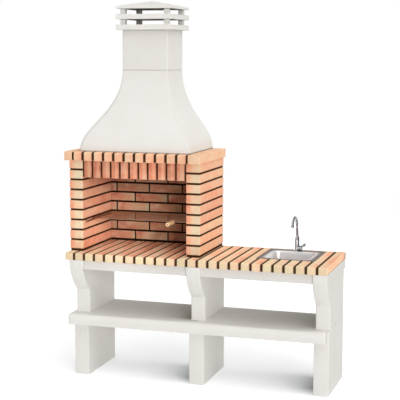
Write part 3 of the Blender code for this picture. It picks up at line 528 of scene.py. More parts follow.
class Graph:
    """Short hand for wiring a node tree."""

    def __init__(self, tree: bpy.types.NodeTree) -> None:
        """Wire into a tree."""
        self.tree = tree

    def node(self, kind: str, sockets: dict | None = None, **settings: object) -> bpy.types.Node:
        """Add a shader node.

        Args:
            kind: The node's type, without its ShaderNode prefix.
            sockets: What feeds its inputs: sockets, nodes or plain values.
            **settings: The node's own settings.

        Returns:
            The node.
        """
        made = self.tree.nodes.new("ShaderNode" + kind)
        number = len(self.tree.nodes)
        made.location = (number % 8 * 190, -(number // 8) * 230)
        for key, value in settings.items():
            setattr(made, key, value)
        for key, value in (sockets or {}).items():
            self.feed(made.inputs[key], value)
        return made

    def feed(self, socket: Socket, value: object) -> None:
        """Link or set one input.

        Args:
            socket: The input.
            value: A socket, a node for its first output, a colour as on screen, or a plain value.
        """
        if isinstance(value, bpy.types.Node):
            value = value.outputs[0]
        if isinstance(value, Socket):
            self.tree.links.new(value, socket)
        elif isinstance(value, tuple) and isinstance(value[0], int):
            socket.default_value = linear(value)
        else:
            socket.default_value = value

    def math(self, operation: str, a: object, b: object = 0.0, c: object = 0.0) -> Socket:
        """A sum on numbers; CLAMPED is MULTIPLY_ADD kept between 0 and 1."""
        name, clamp = ("MULTIPLY_ADD", True) if operation == "CLAMPED" else (operation, False)
        return self.node("Math", {0: a, 1: b, 2: c}, operation=name, use_clamp=clamp).outputs[0]

    def around(
        self, mask: object, span: float, middle: object, operation: str = "MULTIPLY_ADD"
    ) -> Socket:
        """A value that a mask moves up and down from its middle, by half a span each way."""
        return self.math(operation, self.math("SUBTRACT", mask, 0.5), span, middle)

    def mix(self, share: object, a: object, b: object, blend: str = "MIX") -> Socket:
        """Two colours mixed by the share of the second."""
        return self.node("Mix", {0: share, 6: a, 7: b}, data_type="RGBA", blend_type=blend).outputs[2]

    def lay(self, colour: object, mask: object, share: float, paint: Colour) -> Socket:
        """A colour with a share of another laid over it where a mask is."""
        return self.mix(self.math("MULTIPLY", mask, share), colour, paint)

    def streaks(
        self, vector: object, scale: Corner, detail: float, roughness: float = 0.5
    ) -> Socket:
        """Noise between 0 and 1, drawn out along the axes with the least scale."""
        mapped = self.node("Mapping", {"Vector": vector, "Scale": scale})
        sockets = {"Vector": mapped, "Scale": 1.0, "Detail": detail, "Roughness": roughness}
        return self.node("TexNoise", sockets).outputs[0]

    def ramp(self, share: object, colours: Sequence[Colour], places: Sequence[float]) -> Socket:
        """A colour read from a ramp.

        Args:
            share: Where to read it.
            colours: The ramp's colours.
            places: Where each of them is.

        Returns:
            The colour.
        """
        made = self.node("ValToRGB", {0: share})
        elements = made.color_ramp.elements
        while len(elements) > 1:
            elements.remove(elements[-1])
        elements[0].position, elements[0].color = places[0], linear(colours[0])
        for place, colour in list(zip(places, colours))[1:]:
            elements.new(place).color = linear(colour)
        return made.outputs[0]

    def grey(self, value: object) -> Socket:
        """A number as a grey colour."""
        return self.node("CombineColor", {0: value, 1: value, 2: value}).outputs[0]

    def read(self, name: str, output: str = "Fac") -> Socket:
        """A value that rides on the mesh."""
        return self.node("Attribute", attribute_name=name).outputs[output]

    def where(self) -> Socket:
        """Each point's place on the object."""
        return self.node("TexCoord").outputs["Object"]


class Surface(Graph):
    """A material's node tree with its shader."""

    def __init__(self, material: bpy.types.Material) -> None:
        """Wire into a material."""
        super().__init__(material.node_tree)
        self.shader = material.node_tree.nodes["Principled BSDF"]

    def show(self, colour: object, roughness: object, **plain: float) -> None:
        """Give the shader its colour and roughness, and values that are the same all over.

        Args:
            colour: The base colour.
            roughness: The roughness.
            **plain: Other inputs of the shader, with _ for each space in their names.
        """
        self.feed(self.shader.inputs["Base Color"], colour)
        self.feed(self.shader.inputs["Roughness"], roughness)
        for name, value in plain.items():
            self.shader.inputs[name.replace("_", " ")].default_value = value

    def raise_by(self, height: object, strength: float, distance: float) -> None:
        """Raise the surface by a height."""
        bump = self.node("Bump", {"Strength": strength, "Distance": distance, "Height": height})
        self.feed(self.shader.inputs["Normal"], bump)


def group_of(name: str, inputs: dict[str, float], outputs: Sequence[str]) -> tuple:
    """Start a shared node group that takes a vector.

    Args:
        name: The group's name.
        inputs: Its number inputs, each with its first value.
        outputs: Names of its number outputs.

    Returns:
        The group, its graph, its input node's sockets and its output node's.
    """
    group = bpy.data.node_groups.new(name, "ShaderNodeTree")
    group.interface.new_socket("Vector", in_out="INPUT", socket_type="NodeSocketVector")
    for label, value in inputs.items():
        socket = group.interface.new_socket(label, in_out="INPUT", socket_type="NodeSocketFloat")
        socket.default_value = value
    for label in outputs:
        group.interface.new_socket(label, in_out="OUTPUT", socket_type="NodeSocketFloat")
    enters, leaves = (group.nodes.new(kind) for kind in ("NodeGroupInput", "NodeGroupOutput"))
    return group, Graph(group), enters.outputs, leaves.inputs


@dataclass(frozen=True)
class Effect:
    """A shared node group, placed in a material with values of its own."""

    @staticmethod
    def group() -> bpy.types.NodeTree:
        """The group, built at its first use."""
        raise NotImplementedError

    def put(self, graph: Graph, vector: object) -> bpy.types.Node:
        """Place the group, each field feeding the input of its name.

        Args:
            graph: Where it goes.
            vector: What feeds its vector.

        Returns:
            The group's node.
        """
        made = graph.tree.nodes.new("ShaderNodeGroup")
        made.node_tree = self.group()
        graph.feed(made.inputs["Vector"], vector)
        for name, value in asdict(self).items():
            graph.feed(made.inputs[name.capitalize()], value)
        return made


@dataclass(frozen=True)
class Grain(Effect):
    """Sandy grain: a tone and a height from two sizes of noise."""

    scale: float = 300.0
    coarse: float = 0.4

    @staticmethod
    @cache
    def group() -> bpy.types.NodeTree:
        """Build the group at its first use.

        Returns:
            The group.
        """
        inputs = {"Scale": 300.0, "Coarse": 0.4}
        group, graph, (vector, scale, coarse, _), leaves = group_of("sandy_grain", inputs, ("Tone", "Height"))
        fine = graph.node("TexNoise", {"Vector": vector, "Scale": scale, "Detail": 2.0})
        wide = graph.math("MULTIPLY", scale, 0.23)
        broad = graph.node("TexNoise", {"Vector": vector, "Scale": wide, "Detail": 3.0})
        tone = graph.node("Mix", {0: coarse, 2: fine, 3: broad})
        graph.feed(leaves[0], tone)
        graph.feed(leaves[1], graph.math("MULTIPLY_ADD", fine, 0.6, tone.outputs[0]))
        return group


@dataclass(frozen=True)
class Pits(Effect):
    """Small round holes: a mask that is 1 in a hole."""

    scale: float
    size: float
    share: float

    @staticmethod
    @cache
    def group() -> bpy.types.NodeTree:
        """Build the group at its first use.

        Returns:
            The group.
        """
        inputs = {"Scale": 60.0, "Size": 0.16, "Share": 0.3}
        group, graph, (vector, scale, size, share, _), leaves = group_of("small_pits", inputs, ("Mask",))
        cell = graph.node("TexVoronoi", {"Vector": vector, "Scale": scale})
        near = graph.math("LESS_THAN", cell.outputs[0], size)
        pick = graph.node("SeparateColor", {0: cell.outputs[1]})
        chosen = graph.math("LESS_THAN", pick.outputs[0], share)
        graph.feed(leaves[0], graph.math("MULTIPLY", near, chosen))
        return group


@dataclass(frozen=True)
class Clouds(Effect):
    """Broad soft patches: a mask centred on a half."""

    scale: float
    contrast: float

    @staticmethod
    @cache
    def group() -> bpy.types.NodeTree:
        """Build the group at its first use.

        Returns:
            The group.
        """
        inputs = {"Scale": 4.0, "Contrast": 1.0}
        group, graph, (vector, scale, contrast, _), leaves = group_of("soft_clouds", inputs, ("Mask",))
        broad = graph.node("TexNoise", {"Vector": vector, "Scale": scale, "Detail": 4.0})
        away = graph.math("SUBTRACT", broad.outputs[0], 0.5)
        graph.feed(leaves[0], graph.math("CLAMPED", away, contrast, 0.5))
        return group


@dataclass(frozen=True)
class Finish:
    """What a piece is made of; each kind wires its own nodes."""

    name: str
    slot: Slot

    def wire(self, nodes: Surface) -> None:
        """Wire the surface."""
        raise NotImplementedError

    @cache
    def material(self) -> bpy.types.Material:
        """Make the finish's material at its first use.

        Returns:
            The material.
        """
        made = bpy.data.materials.new(self.name)
        made.use_nodes = True
        self.wire(Surface(made))
        return made


@dataclass(frozen=True)
class BrickFinish(Finish):
    """Fired clay whose colour goes from cream to terracotta with each point's warmth."""

    colours: tuple[Colour, ...] = ((240, 222, 190), (250, 203, 166), (253, 176, 142), (214, 122, 90))
    places: tuple[float, ...] = (0.0, 0.33, 0.66, 1.0)
    patchy: float = 0.30
    streaky: float = 0.30
    sandy: float = 0.20
    patches: Clouds = Clouds(17.0, 1.8)
    streak: Corner = (5.0, 60.0, 85.0)
    sand: Grain = Grain(420.0, 0.5)
    bloom: Clouds = Clouds(9.0, 5.0)
    bloom_share: float = 0.16
    bloom_colour: Colour = (248, 232, 205)
    iron: Pits = Pits(95.0, 0.17, 0.16)
    iron_share: float = 0.4
    iron_colour: Colour = (120, 70, 48)
    iron_depth: float = 0.8
    worn_share: float = 0.18
    worn_colour: Colour = (252, 226, 190)
    # Colour of the mortar smear on laid faces and of painted shade and shadow.
    smear_and_shade_colour: Colour = (48, 28, 18)

    def wire(self, nodes: Surface) -> None:
        """Patches, streaks, grain, pale bloom and iron spots over the warmth ramp.

        Args:
            nodes: The material's nodes.
        """
        local = nodes.read("local", "Vector")
        patches = self.patches.put(nodes, local)
        streak = nodes.streaks(local, self.streak, 3.0)
        tone = nodes.around(patches, self.patchy, nodes.read("warmth"))
        tone = nodes.around(streak, self.streaky, tone, "CLAMPED")
        colour = nodes.ramp(tone, self.colours, self.places)
        sand = self.sand.put(nodes, local)
        # The shade value is each brick's random tone with painted light: darker fronts, lighter right sides.
        sandy = nodes.around(sand, self.sandy, nodes.read("shade"))
        colour = nodes.mix(1.0, colour, nodes.grey(sandy), "MULTIPLY")
        bloom = nodes.math("POWER", self.bloom.put(nodes, local), 3.0)
        colour = nodes.lay(colour, bloom, self.bloom_share, self.bloom_colour)
        iron = self.iron.put(nodes, local)
        colour = nodes.lay(colour, iron, self.iron_share, self.iron_colour)
        colour = nodes.lay(colour, nodes.read("edge"), self.worn_share, self.worn_colour)
        # Mortar smear on the laid faces, and painted shade and shadow.
        colour = nodes.mix(nodes.read("soot"), colour, self.smear_and_shade_colour)
        rough = nodes.math("MULTIPLY_ADD", sand, 0.14, 0.80)
        nodes.show(colour, rough, Specular_IOR_Level=0.15)
        holes = nodes.math("MULTIPLY", iron, -self.iron_depth)
        height = nodes.math("ADD", nodes.math("MULTIPLY_ADD", streak, 0.5, sand.outputs[1]), holes)
        nodes.raise_by(height, 0.5, 0.0012)


@dataclass(frozen=True)
class MortarFinish(Finish):
    """Dark, sandy, raked mortar."""

    light: Colour = (88, 58, 36)
    dark: Colour = (48, 30, 17)
    sand: Grain = Grain(500.0)
    patches: Clouds = Clouds(20.0, 1.5)

    def wire(self, nodes: Surface) -> None:
        """Sand over soft patches.

        Args:
            nodes: The material's nodes.
        """
        where = nodes.where()
        sand = self.sand.put(nodes, where)
        patches = self.patches.put(nodes, where)
        tone = nodes.math("MULTIPLY_ADD", patches, 0.4, nodes.math("MULTIPLY", sand, 0.6))
        rough = nodes.math("MULTIPLY_ADD", sand, 0.1, 0.88)
        nodes.show(nodes.mix(tone, self.dark, self.light), rough, Specular_IOR_Level=0.05)
        nodes.raise_by(sand.outputs[1], 0.6, 0.0015)


@dataclass(frozen=True)
class ConcreteFinish(Finish):
    """Pale cast concrete with faint clouds, fine sand and a few air holes."""

    light: Colour = (240, 239, 237)
    dark: Colour = (230, 228, 223)
    clouds: Clouds = Clouds(5.5, 1.6)
    trowel: Corner = (9.0, 9.0, 34.0)
    sand: Grain = Grain(380.0, 0.3)
    holes: Pits = Pits(55.0, 0.07, 0.10)
    hole_share: float = 0.35
    hole_colour: Colour = (170, 164, 152)
    # Colour of painted shade and shadow.
    smear_and_shade_colour: Colour = (96, 80, 58)

    def wire(self, nodes: Surface) -> None:
        """Clouds, trowel marks, sand, air holes and painted shade.

        Args:
            nodes: The material's nodes.
        """
        where = nodes.where()
        clouds = self.clouds.put(nodes, where)
        trowel = nodes.streaks(where, self.trowel, 4.0)
        sand = self.sand.put(nodes, where)
        tone = nodes.math("MULTIPLY_ADD", trowel, 0.3, nodes.math("MULTIPLY", clouds, 0.45))
        colour = nodes.mix(nodes.math("CLAMPED", sand, 0.25, tone), self.dark, self.light)
        holes = self.holes.put(nodes, where)
        colour = nodes.lay(colour, holes, self.hole_share, self.hole_colour)
        # Painted shade and shadow.
        colour = nodes.mix(nodes.read("soot"), colour, self.smear_and_shade_colour)
        rough = nodes.math("MULTIPLY_ADD", sand, 0.12, 0.78)
        nodes.show(colour, rough, Specular_IOR_Level=0.2)
        height = nodes.math("MULTIPLY_ADD", trowel, 0.7, sand.outputs[1])
        nodes.raise_by(nodes.math("MULTIPLY_ADD", holes, -1.5, height), 0.25, 0.0010)


@dataclass(frozen=True)
class SteelFinish(Finish):
    """Brushed stainless steel or plated wire."""

    light: Colour = (228, 225, 224)
    dark: Colour = (203, 199, 198)
    brush: Corner = (12.0, 900.0, 900.0)
    smudges: Clouds = Clouds(14.0, 1.6)
    roughness: float = 0.29
    # The rim's matt band, darkened by a painted reflection.
    rim: Colour = (104, 96, 92)
    rim_metal: float = 0.25
    rim_roughness: float = 0.25

    def wire(self, nodes: Surface) -> None:
        """Fine lines along the brushing, over faint smudges, and on a rim a matt band darkened by a painted
        reflection.

        Args:
            nodes: The material's nodes.
        """
        where = nodes.where()
        lines = nodes.streaks(where, self.brush, 2.0)
        smudges = self.smudges.put(nodes, where)
        tone = nodes.math("MULTIPLY_ADD", lines, 0.5, nodes.math("MULTIPLY", smudges, 0.5))
        rim = nodes.read("rim")
        colour = nodes.mix(rim, nodes.mix(tone, self.dark, self.light), self.rim)
        metal = nodes.math("MULTIPLY_ADD", rim, self.rim_metal - 1.0, 1.0)
        nodes.feed(nodes.shader.inputs["Metallic"], metal)
        rough = nodes.math("MULTIPLY_ADD", smudges, 0.14, self.roughness)
        nodes.show(colour, nodes.math("MULTIPLY_ADD", rim, self.rim_roughness, rough))
        nodes.raise_by(lines, 0.12, 0.0003)


@dataclass(frozen=True)
class ChromeFinish(Finish):
    """Polished chrome with painted reflections: bands of light and dark that follow the way the surface
    faces.
    """

    # Painted reflection bands, read by the way the surface faces.
    bands: tuple[Colour, ...] = (
        (60, 62, 66), (72, 74, 79), (138, 140, 146), (226, 227, 230),
        (236, 237, 240), (120, 122, 128), (52, 54, 58), (92, 94, 99),
    )
    places: tuple[float, ...] = (0.0, 0.20, 0.33, 0.42, 0.55, 0.64, 0.78, 1.0)
    turn_across: float = 0.38
    turn_up: float = 0.26
    marks: Clouds = Clouds(120.0, 1.5)
    mark_share: float = 0.12
    mark_colour: Colour = (190, 192, 196)
    # Colour of the painted dark reflection.
    dark_reflection_colour: Colour = (58, 60, 63)

    def wire(self, nodes: Surface) -> None:
        """A ramp of painted reflections over the surface's own facing, with faint water marks.

        Args:
            nodes: The material's nodes.
        """
        faces = nodes.node("SeparateXYZ", {0: nodes.node("NewGeometry").outputs["Normal"]}).outputs
        turn = nodes.math("MULTIPLY_ADD", faces[0], self.turn_across, 0.5)
        turn = nodes.math("MULTIPLY_ADD", faces[2], self.turn_up, turn)
        bands = nodes.ramp(turn, self.bands, self.places)
        marks = self.marks.put(nodes, nodes.where())
        colour = nodes.lay(bands, marks, self.mark_share, self.mark_colour)
        # Painted dark reflection where the piece asks for it.
        colour = nodes.mix(nodes.read("dull"), colour, self.dark_reflection_colour)
        nodes.show(colour, nodes.math("MULTIPLY_ADD", marks, 0.06, 0.07), Metallic=1.0)


@dataclass(frozen=True)
class WoodFinish(Finish):
    """Pale turned beech with its grain along the handle."""

    light: Colour = (238, 208, 165)
    dark: Colour = (206, 160, 112)
    fibre: Corner = (260.0, 14.0, 260.0)
    patches: Clouds = Clouds(30.0, 2.0)
    fleck: Corner = (700.0, 60.0, 700.0)
    fleck_from: float = 0.66
    fleck_share: float = 0.5
    fleck_colour: Colour = (150, 100, 62)

    def wire(self, nodes: Surface) -> None:
        """Long fibres and short dark flecks.

        Args:
            nodes: The material's nodes.
        """
        where = nodes.where()
        fibres = nodes.streaks(where, self.fibre, 4.0, 0.6)
        patches = self.patches.put(nodes, where)
        tone = nodes.math("MULTIPLY_ADD", fibres, 0.6, nodes.math("MULTIPLY", patches, 0.4))
        flecks = nodes.math("GREATER_THAN", nodes.streaks(where, self.fleck, 1.0), self.fleck_from)
        colour = nodes.mix(tone, self.dark, self.light)
        colour = nodes.lay(colour, flecks, self.fleck_share, self.fleck_colour)
        nodes.show(colour, nodes.math("MULTIPLY_ADD", fibres, 0.2, 0.5))
        nodes.raise_by(fibres, 0.2, 0.0004)


@dataclass(frozen=True)
class RubberFinish(Finish):
    """Dull black rubber with a little bloom."""

    dark: Colour = (30, 30, 31)
    light: Colour = (52, 52, 54)
    sand: Grain = Grain(900.0, 0.3)
    bloom: Clouds = Clouds(60.0, 2.0)

    def wire(self, nodes: Surface) -> None:
        """Bloom and a fine grain.

        Args:
            nodes: The material's nodes.
        """
        where = nodes.where()
        sand = self.sand.put(nodes, where)
        colour = nodes.mix(self.bloom.put(nodes, where), self.dark, self.light)
        nodes.show(colour, nodes.math("MULTIPLY_ADD", sand, 0.2, 0.5))
        nodes.raise_by(sand.outputs[1], 0.15, 0.0003)


CONCRETE = ConcreteFinish("cast_concrete", Slot.CONCRETE)
WALL_BRICK = BrickFinish("wall_brick", Slot.WALL_BRICK)
# A darker copy of the wall brick: painted shade on the lintel under the crown's overhang.
SHADED_LINTEL_BRICK = BrickFinish(
    "lintel_brick", Slot.WALL_BRICK,
    colours=((228, 204, 172), (236, 188, 152), (235, 160, 128), (198, 110, 80)), patchy=0.4,
)
HEARTH_BRICK = BrickFinish(
    "hearth_brick", Slot.WALL_BRICK,
    colours=((192, 175, 144), (199, 156, 124), (197, 131, 104), (166, 98, 80)),
    places=(0.0, 0.4, 0.75, 1.0), patchy=0.7,
)
DECK_BRICK = BrickFinish(
    "worktop_brick", Slot.WORKTOP_BRICK,
    colours=((240, 224, 184), (254, 220, 184), (254, 188, 152), (230, 134, 100)),
    patchy=0.28, streaky=0.22,
)
JOINTS = MortarFinish("dark_mortar", Slot.MORTAR)
HEARTH_JOINTS = MortarFinish("sooty_mortar", Slot.MORTAR, light=(46, 26, 14), dark=(22, 12, 6))
DECK_JOINTS = MortarFinish("worktop_mortar", Slot.MORTAR, light=(96, 68, 44), dark=(56, 38, 24))
SINK_STEEL = SteelFinish("sink_steel", Slot.SINK_STEEL)
WIRE_STEEL = SteelFinish(
    "grill_steel", Slot.GRILL_STEEL,
    light=(200, 160, 134), dark=(140, 104, 86), brush=(300.0, 300.0, 300.0),
)
CHROME = ChromeFinish("tap_chrome", Slot.TAP_CHROME)
WOOD = WoodFinish("handle_wood", Slot.HANDLE_WOOD)
RUBBER = RubberFinish("plug_rubber", Slot.PLUG)


def fit(thing: bpy.types.Object, body: Body, finish: Finish, *nodes: str) -> None:
    """Give a piece its finish, its body and the nodes that it stands for.

    Args:
        thing: The piece.
        body: The body that it rides on.
        finish: What it is made of.
        *nodes: The nodes that it replaces.
    """
    thing.data.materials.clear()
    thing.data.materials.append(finish.material())
    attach(thing, body.value)
    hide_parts(*nodes)
    LOG.info("%s: %s on %s", thing.name, finish.name, body.value)


# Bricks and castings

# Longest gap between the points of a brick, and the sides of one that lie in mortar.
BRICK_STEP = 0.0095
BEDS = ((2, -1), (2, 1))
ENDS = ((0, -1), (0, 1))

# How mortar is worn: its deepest hollow, its deepest chip and the width of a hollow.
MORTAR_WEAR = (0.0007, 0.0, 0.008)


def cast(
    name: str, patch: Patch, node: str, sharp: float = 50.0, bevel: float = 0.0, turn: float = 40.0,
    **values: object,
) -> None:
    """Make a concrete piece that stands for a node.

    Args:
        name: The piece's name.
        patch: Its shape.
        node: The node.
        sharp: Angle in degrees past which an edge stays sharp.
        bevel: Width of its rounded edges, or 0 for edges as they are.
        turn: Angle in degrees past which an edge is rounded.
        **values: Values that ride on its points.
    """
    thing = Shell().add(patch, **values).make(name, sharp)
    if bevel:
        modifier = thing.modifiers.new("edges", "BEVEL")
        modifier.width, modifier.segments = bevel, 3
        modifier.limit_method, modifier.angle_limit = "ANGLE", math.radians(turn)
        modifier.harden_normals = True
    fit(thing, Body.MASONRY, CONCRETE, node)


def mortar(name: str, node: str, low: Sequence[float], high: Sequence[float], seed: float) -> None:
    """Fill a box between two corners with rough mortar that stands for a node."""
    patch = bar(Section.box(low[:2], high[:2], 0.001, 0.02, 2), Axis.Z, low[2], high[2], 0.02)
    fit(Shell().add(patch.worn(*MORTAR_WEAR, seed)).make(name), Body.MASONRY, JOINTS, node)


@dataclass
class Kiln:
    """Hands out bricks that differ a little, always in the same order."""

    seed: int
    hollow: float = 0.0006
    chip: float = 0.0028
    grain: float = 0.016
    arris: float = 0.0025
    spread: float = 0.12
    smear: float = 0.55
    tones: Flat = (0.94, 1.04)
    # Painted light: brick fronts darker, right sides lighter.
    painted_front_shade: float = 0.06
    painted_side_light: float = 0.06
    dice: random.Random = field(init=False)

    def __post_init__(self) -> None:
        """Seed the dice."""
        self.dice = random.Random(self.seed)

    def brick(
        self, shell: Shell, patch: Patch, long_way: Axis, warmth: Warmth,
        tint: float | None = None, laid: Sequence[tuple[int, int]] = (),
    ) -> None:
        """Wear a brick and join it to a shell with its firing colours.

        Args:
            shell: The mesh that takes it.
            patch: The brick's sharp shape.
            long_way: The way its length runs.
            warmth: Gives each point's warmth from its place and its way out.
            tint: The whole brick's shift in warmth, or None for a random one.
            laid: The axis and way of each side that is laid in mortar, and dark with it.
        """
        shift = self.dice.uniform(-self.spread, self.spread) if tint is None else tint
        worn = patch.worn(self.hollow, self.chip, self.grain, self.dice.uniform(0, 90))
        second, third, own = long_way.value
        away = np.array([self.dice.uniform(-9, 9) for _ in range(3)])
        local = worn.points[:, [own, second, third]] + away
        heat = unit(warmth(patch.points, patch.outs) + shift)
        front, right = facing(patch.outs, 1, -1), facing(patch.outs, 0, 1)
        tone = self.dice.uniform(*self.tones)
        # Painted light on the random tone: darker fronts, lighter right sides.
        tone *= 1.0 - self.painted_front_shade * front + self.painted_side_light * right
        # Mortar smear on the faces laid in mortar; painted shade is added to it later.
        soot = np.zeros(len(patch.points))
        for axis, way in laid:
            soot = np.maximum(soot, self.smear * facing(patch.outs, axis, way))
        shell.add(worn, local=local, warmth=heat, shade=tone, edge=patch.edge, soot=soot)


@dataclass
class Supports:
    """Three pairs of concrete legs and the shelf between them."""

    edge: float = 0.006
    hollow: float = 0.0004
    hollow_width: float = 0.05
    corbel_reach: float = 0.126
    corbel_drop: float = 0.221
    corbel_sag: float = 0.028
    corbel_steps: int = 32
    corbel_edge: float = 0.009
    # Painted shade on the left strip of each head's front.
    head_shade: float = 0.035
    head_shade_ends: Flat = (0.44, 0.12)
    shelf_radius: float = 0.021
    shelf_end_radius: float = 0.005
    # Painted shade on the right legs' outer sides, on the fronts and on the shelf's top.
    outer_painted_shade: float = 0.11
    front_painted_shade: float = 0.035
    dust: float = 0.055
    front_shade_below: float = 0.035
    # Painted shadow on the shelf's top to the left of the middle and right legs.
    shadow_reach: float = 0.13
    shadow_depths: Flat = (0.80, 0.34)
    shadow_setback: float = 0.085

    def build(self) -> None:
        """Make the legs and the shelf."""
        for place in ("left", "middle", "right"):
            self.lower_leg(place)
            self.upper_leg(place)
        self.shelf()

    def outside(self, patch: Patch, place: str) -> Array:
        """Painted shade on the outer side of the right legs."""
        return self.outer_painted_shade * (place == "right") * facing(patch.outs, 0, 1)

    def lower_leg(self, place: str) -> None:
        """A plain post with its arrises eased; the right one rises past the shelf's end.

        Args:
            place: left, middle or right.
        """
        node = f"lower_leg_{place}"
        low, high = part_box(node)
        corners = [(low.x, 0.0, 0.0), (high.x, 0.0, 0.0), (high.x, high.z, 0.0)]
        if place == "right":
            shelf_low, shelf_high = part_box("shelf_slab")
            inner, ledge = shelf_high.x + SEAT, shelf_low.z - SEAT
            corners += [(inner, high.z, 0.0), (inner, ledge, 0.0), (low.x, ledge, 0.0)]
        else:
            corners.append((low.x, high.z, 0.0))
        patch = bar(Section.of(corners, 0.02), Axis.Y, low.y, high.y, 0.03, self.edge, 4)
        # Painted shade on the legs' fronts and on the right legs' outer sides.
        dust = self.outside(patch, place) + self.front_painted_shade * facing(patch.outs, 1, -1)
        patch = patch.worn(self.hollow, 0.0, self.hollow_width, 3.0 + len(place))
        cast(f"{node}_cast", patch, node, soot=dust)

    def corbel(self, front: float, top: float) -> list[Corner]:
        """The curve under a leg's head, as an arc of a given sag.

        Args:
            front: Where it starts, at the head's front.
            top: The head's top.

        Returns:
            Corners from the head's front down to the leg's.
        """
        chord = Vector((self.corbel_reach, -self.corbel_drop))
        radius = (chord.length_squared / 4 + self.corbel_sag ** 2) / (2 * self.corbel_sag)
        outward = Vector((-self.corbel_drop, -self.corbel_reach)).normalized()
        head = Vector((front, top))
        middle = head + chord / 2 - outward * (radius - self.corbel_sag)
        start, end = (
            math.atan2(spot.y - middle.y, spot.x - middle.x) % (2 * math.pi) for spot in (head, head + chord)
        )
        curve = []
        for k in range(self.corbel_steps + 1):
            turn = start + (end - start) * k / self.corbel_steps
            curve.append((middle.x + radius * math.cos(turn), middle.y + radius * math.sin(turn), 0.0))
        return curve

    def upper_leg(self, place: str) -> None:
        """A leg whose head curves forward and laps the worktop slab's front.

        Args:
            place: left, middle or right.
        """
        node = f"upper_leg_{place}"
        low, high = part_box(node)
        slab_low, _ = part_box("counter_slab")
        leg_front = low.y + self.corbel_reach
        ledge, lip = slab_low.z - SEAT, slab_low.y - SEAT
        corners = self.corbel(low.y, high.z)
        corners += [(leg_front, low.z, 0.0), (high.y, low.z, 0.0), (high.y, ledge, 0.0)]
        corners += [(lip, ledge, 0.0), (lip, high.z, 0.0)]
        section = Section.of(corners, 0.01)
        ahead = unit(-section.outs[:, 0] * 1.6) * (section.points[:, 0] < leg_front + FINE)
        above = np.clip((section.points[:, 1] - low.z) / 0.02, 0.03, 1.0)
        softness = (0.12 + 0.88 * ahead) * above
        patch = bar(section, Axis.X, low.x, high.x, 0.006, self.corbel_edge, 5, softness)
        x, _, z = patch.points.T
        # Painted shade on the left strip of the head's front, and on the right leg's outer side.
        face = facing(patch.outs, 1, -1) * (z > high.z - self.corbel_drop - 2 * FINE)
        inner, fade = self.head_shade_ends
        shade = self.head_shade * face * unit((inner - (x - low.x) / (high.x - low.x)) / fade)
        shade += self.outside(patch, place)
        patch = patch.worn(self.hollow, 0.0, self.hollow_width, 5.0 + len(place))
        cast(f"{node}_cast", patch, node, soot=shade)

    def shelf(self) -> None:
        """The long slab, rounded along its top front and end edges."""
        low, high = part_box("shelf_slab")
        radius = self.shelf_radius
        lines = [
            self.stations(low.x, high.x, (high.x - low.x) / 96, True),
            self.stations(low.y, high.y, 0.02, False),
            [low.z] + self.stations(low.z, high.z, 0.012, True)[7:],
        ]
        patch = blocks(*lines, lambda x, y, z: True)
        least = np.array([low.x + radius, low.y + radius, low.z])
        most = np.array([high.x - self.shelf_end_radius, high.y, high.z - radius])
        radii = np.full_like(patch.points, radius)
        radii[patch.points[:, 0] > most[0], 0] = self.shelf_end_radius
        inner = np.clip(patch.points, least, most)
        away = (patch.points - inner) / radii
        length = np.linalg.norm(away, axis=1, keepdims=True)
        rounded = inner + away / np.maximum(length, 1e-9) * radii
        patch.points = np.where(length > 1e-9, rounded, patch.points)
        cast("shelf_cast", patch, "shelf_slab", soot=self.stain(patch.points, high.z))

    def stain(self, points: Array, top: float) -> Array:
        """Painted shadow on the shelf's top, deepest on the left of two legs, with painted shade over the top
        and the lower sides.

        Args:
            points: The shelf's points.
            top: Its top.

        Returns:
            The painted shadow and shade at each point.
        """
        x, y, z = points.T
        total = np.zeros(len(points))
        for place, depth in zip(("middle", "right"), self.shadow_depths):
            low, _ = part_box(f"upper_leg_{place}")
            away = low.x - x
            fades = depth * np.exp(-np.maximum(away, 0.0) / self.shadow_reach)
            total += np.where(away > -0.05, fades, 0.0) * unit((y - low.y - self.shadow_setback) / 0.09)
        # Painted shade on the shelf's sides below the front's rounding, and on its whole top.
        below = self.front_painted_shade * unit((top - self.front_shade_below - z) / 0.01)
        return np.where(z > top - FINE, total + self.dust, below)

    def stations(self, low: float, high: float, step: float, both: bool) -> list[float]:
        """Places along a side of the shelf, close together where its ends are rounded.

        Args:
            low: The side's first end.
            high: Its last end.
            step: Longest gap between the places.
            both: Whether its last end is rounded too.

        Returns:
            The places in order.
        """
        bends = [self.shelf_radius * turned(k / 6)[0] for k in range(7)]
        start = [low + bend for bend in bends]
        end = [high - bend for bend in bends[::-1]] if both else [high]
        gap = end[0] - start[-1]
        steps = max(1, math.ceil(gap / step))
        return start + [start[-1] + gap * k / steps for k in range(1, steps)] + end


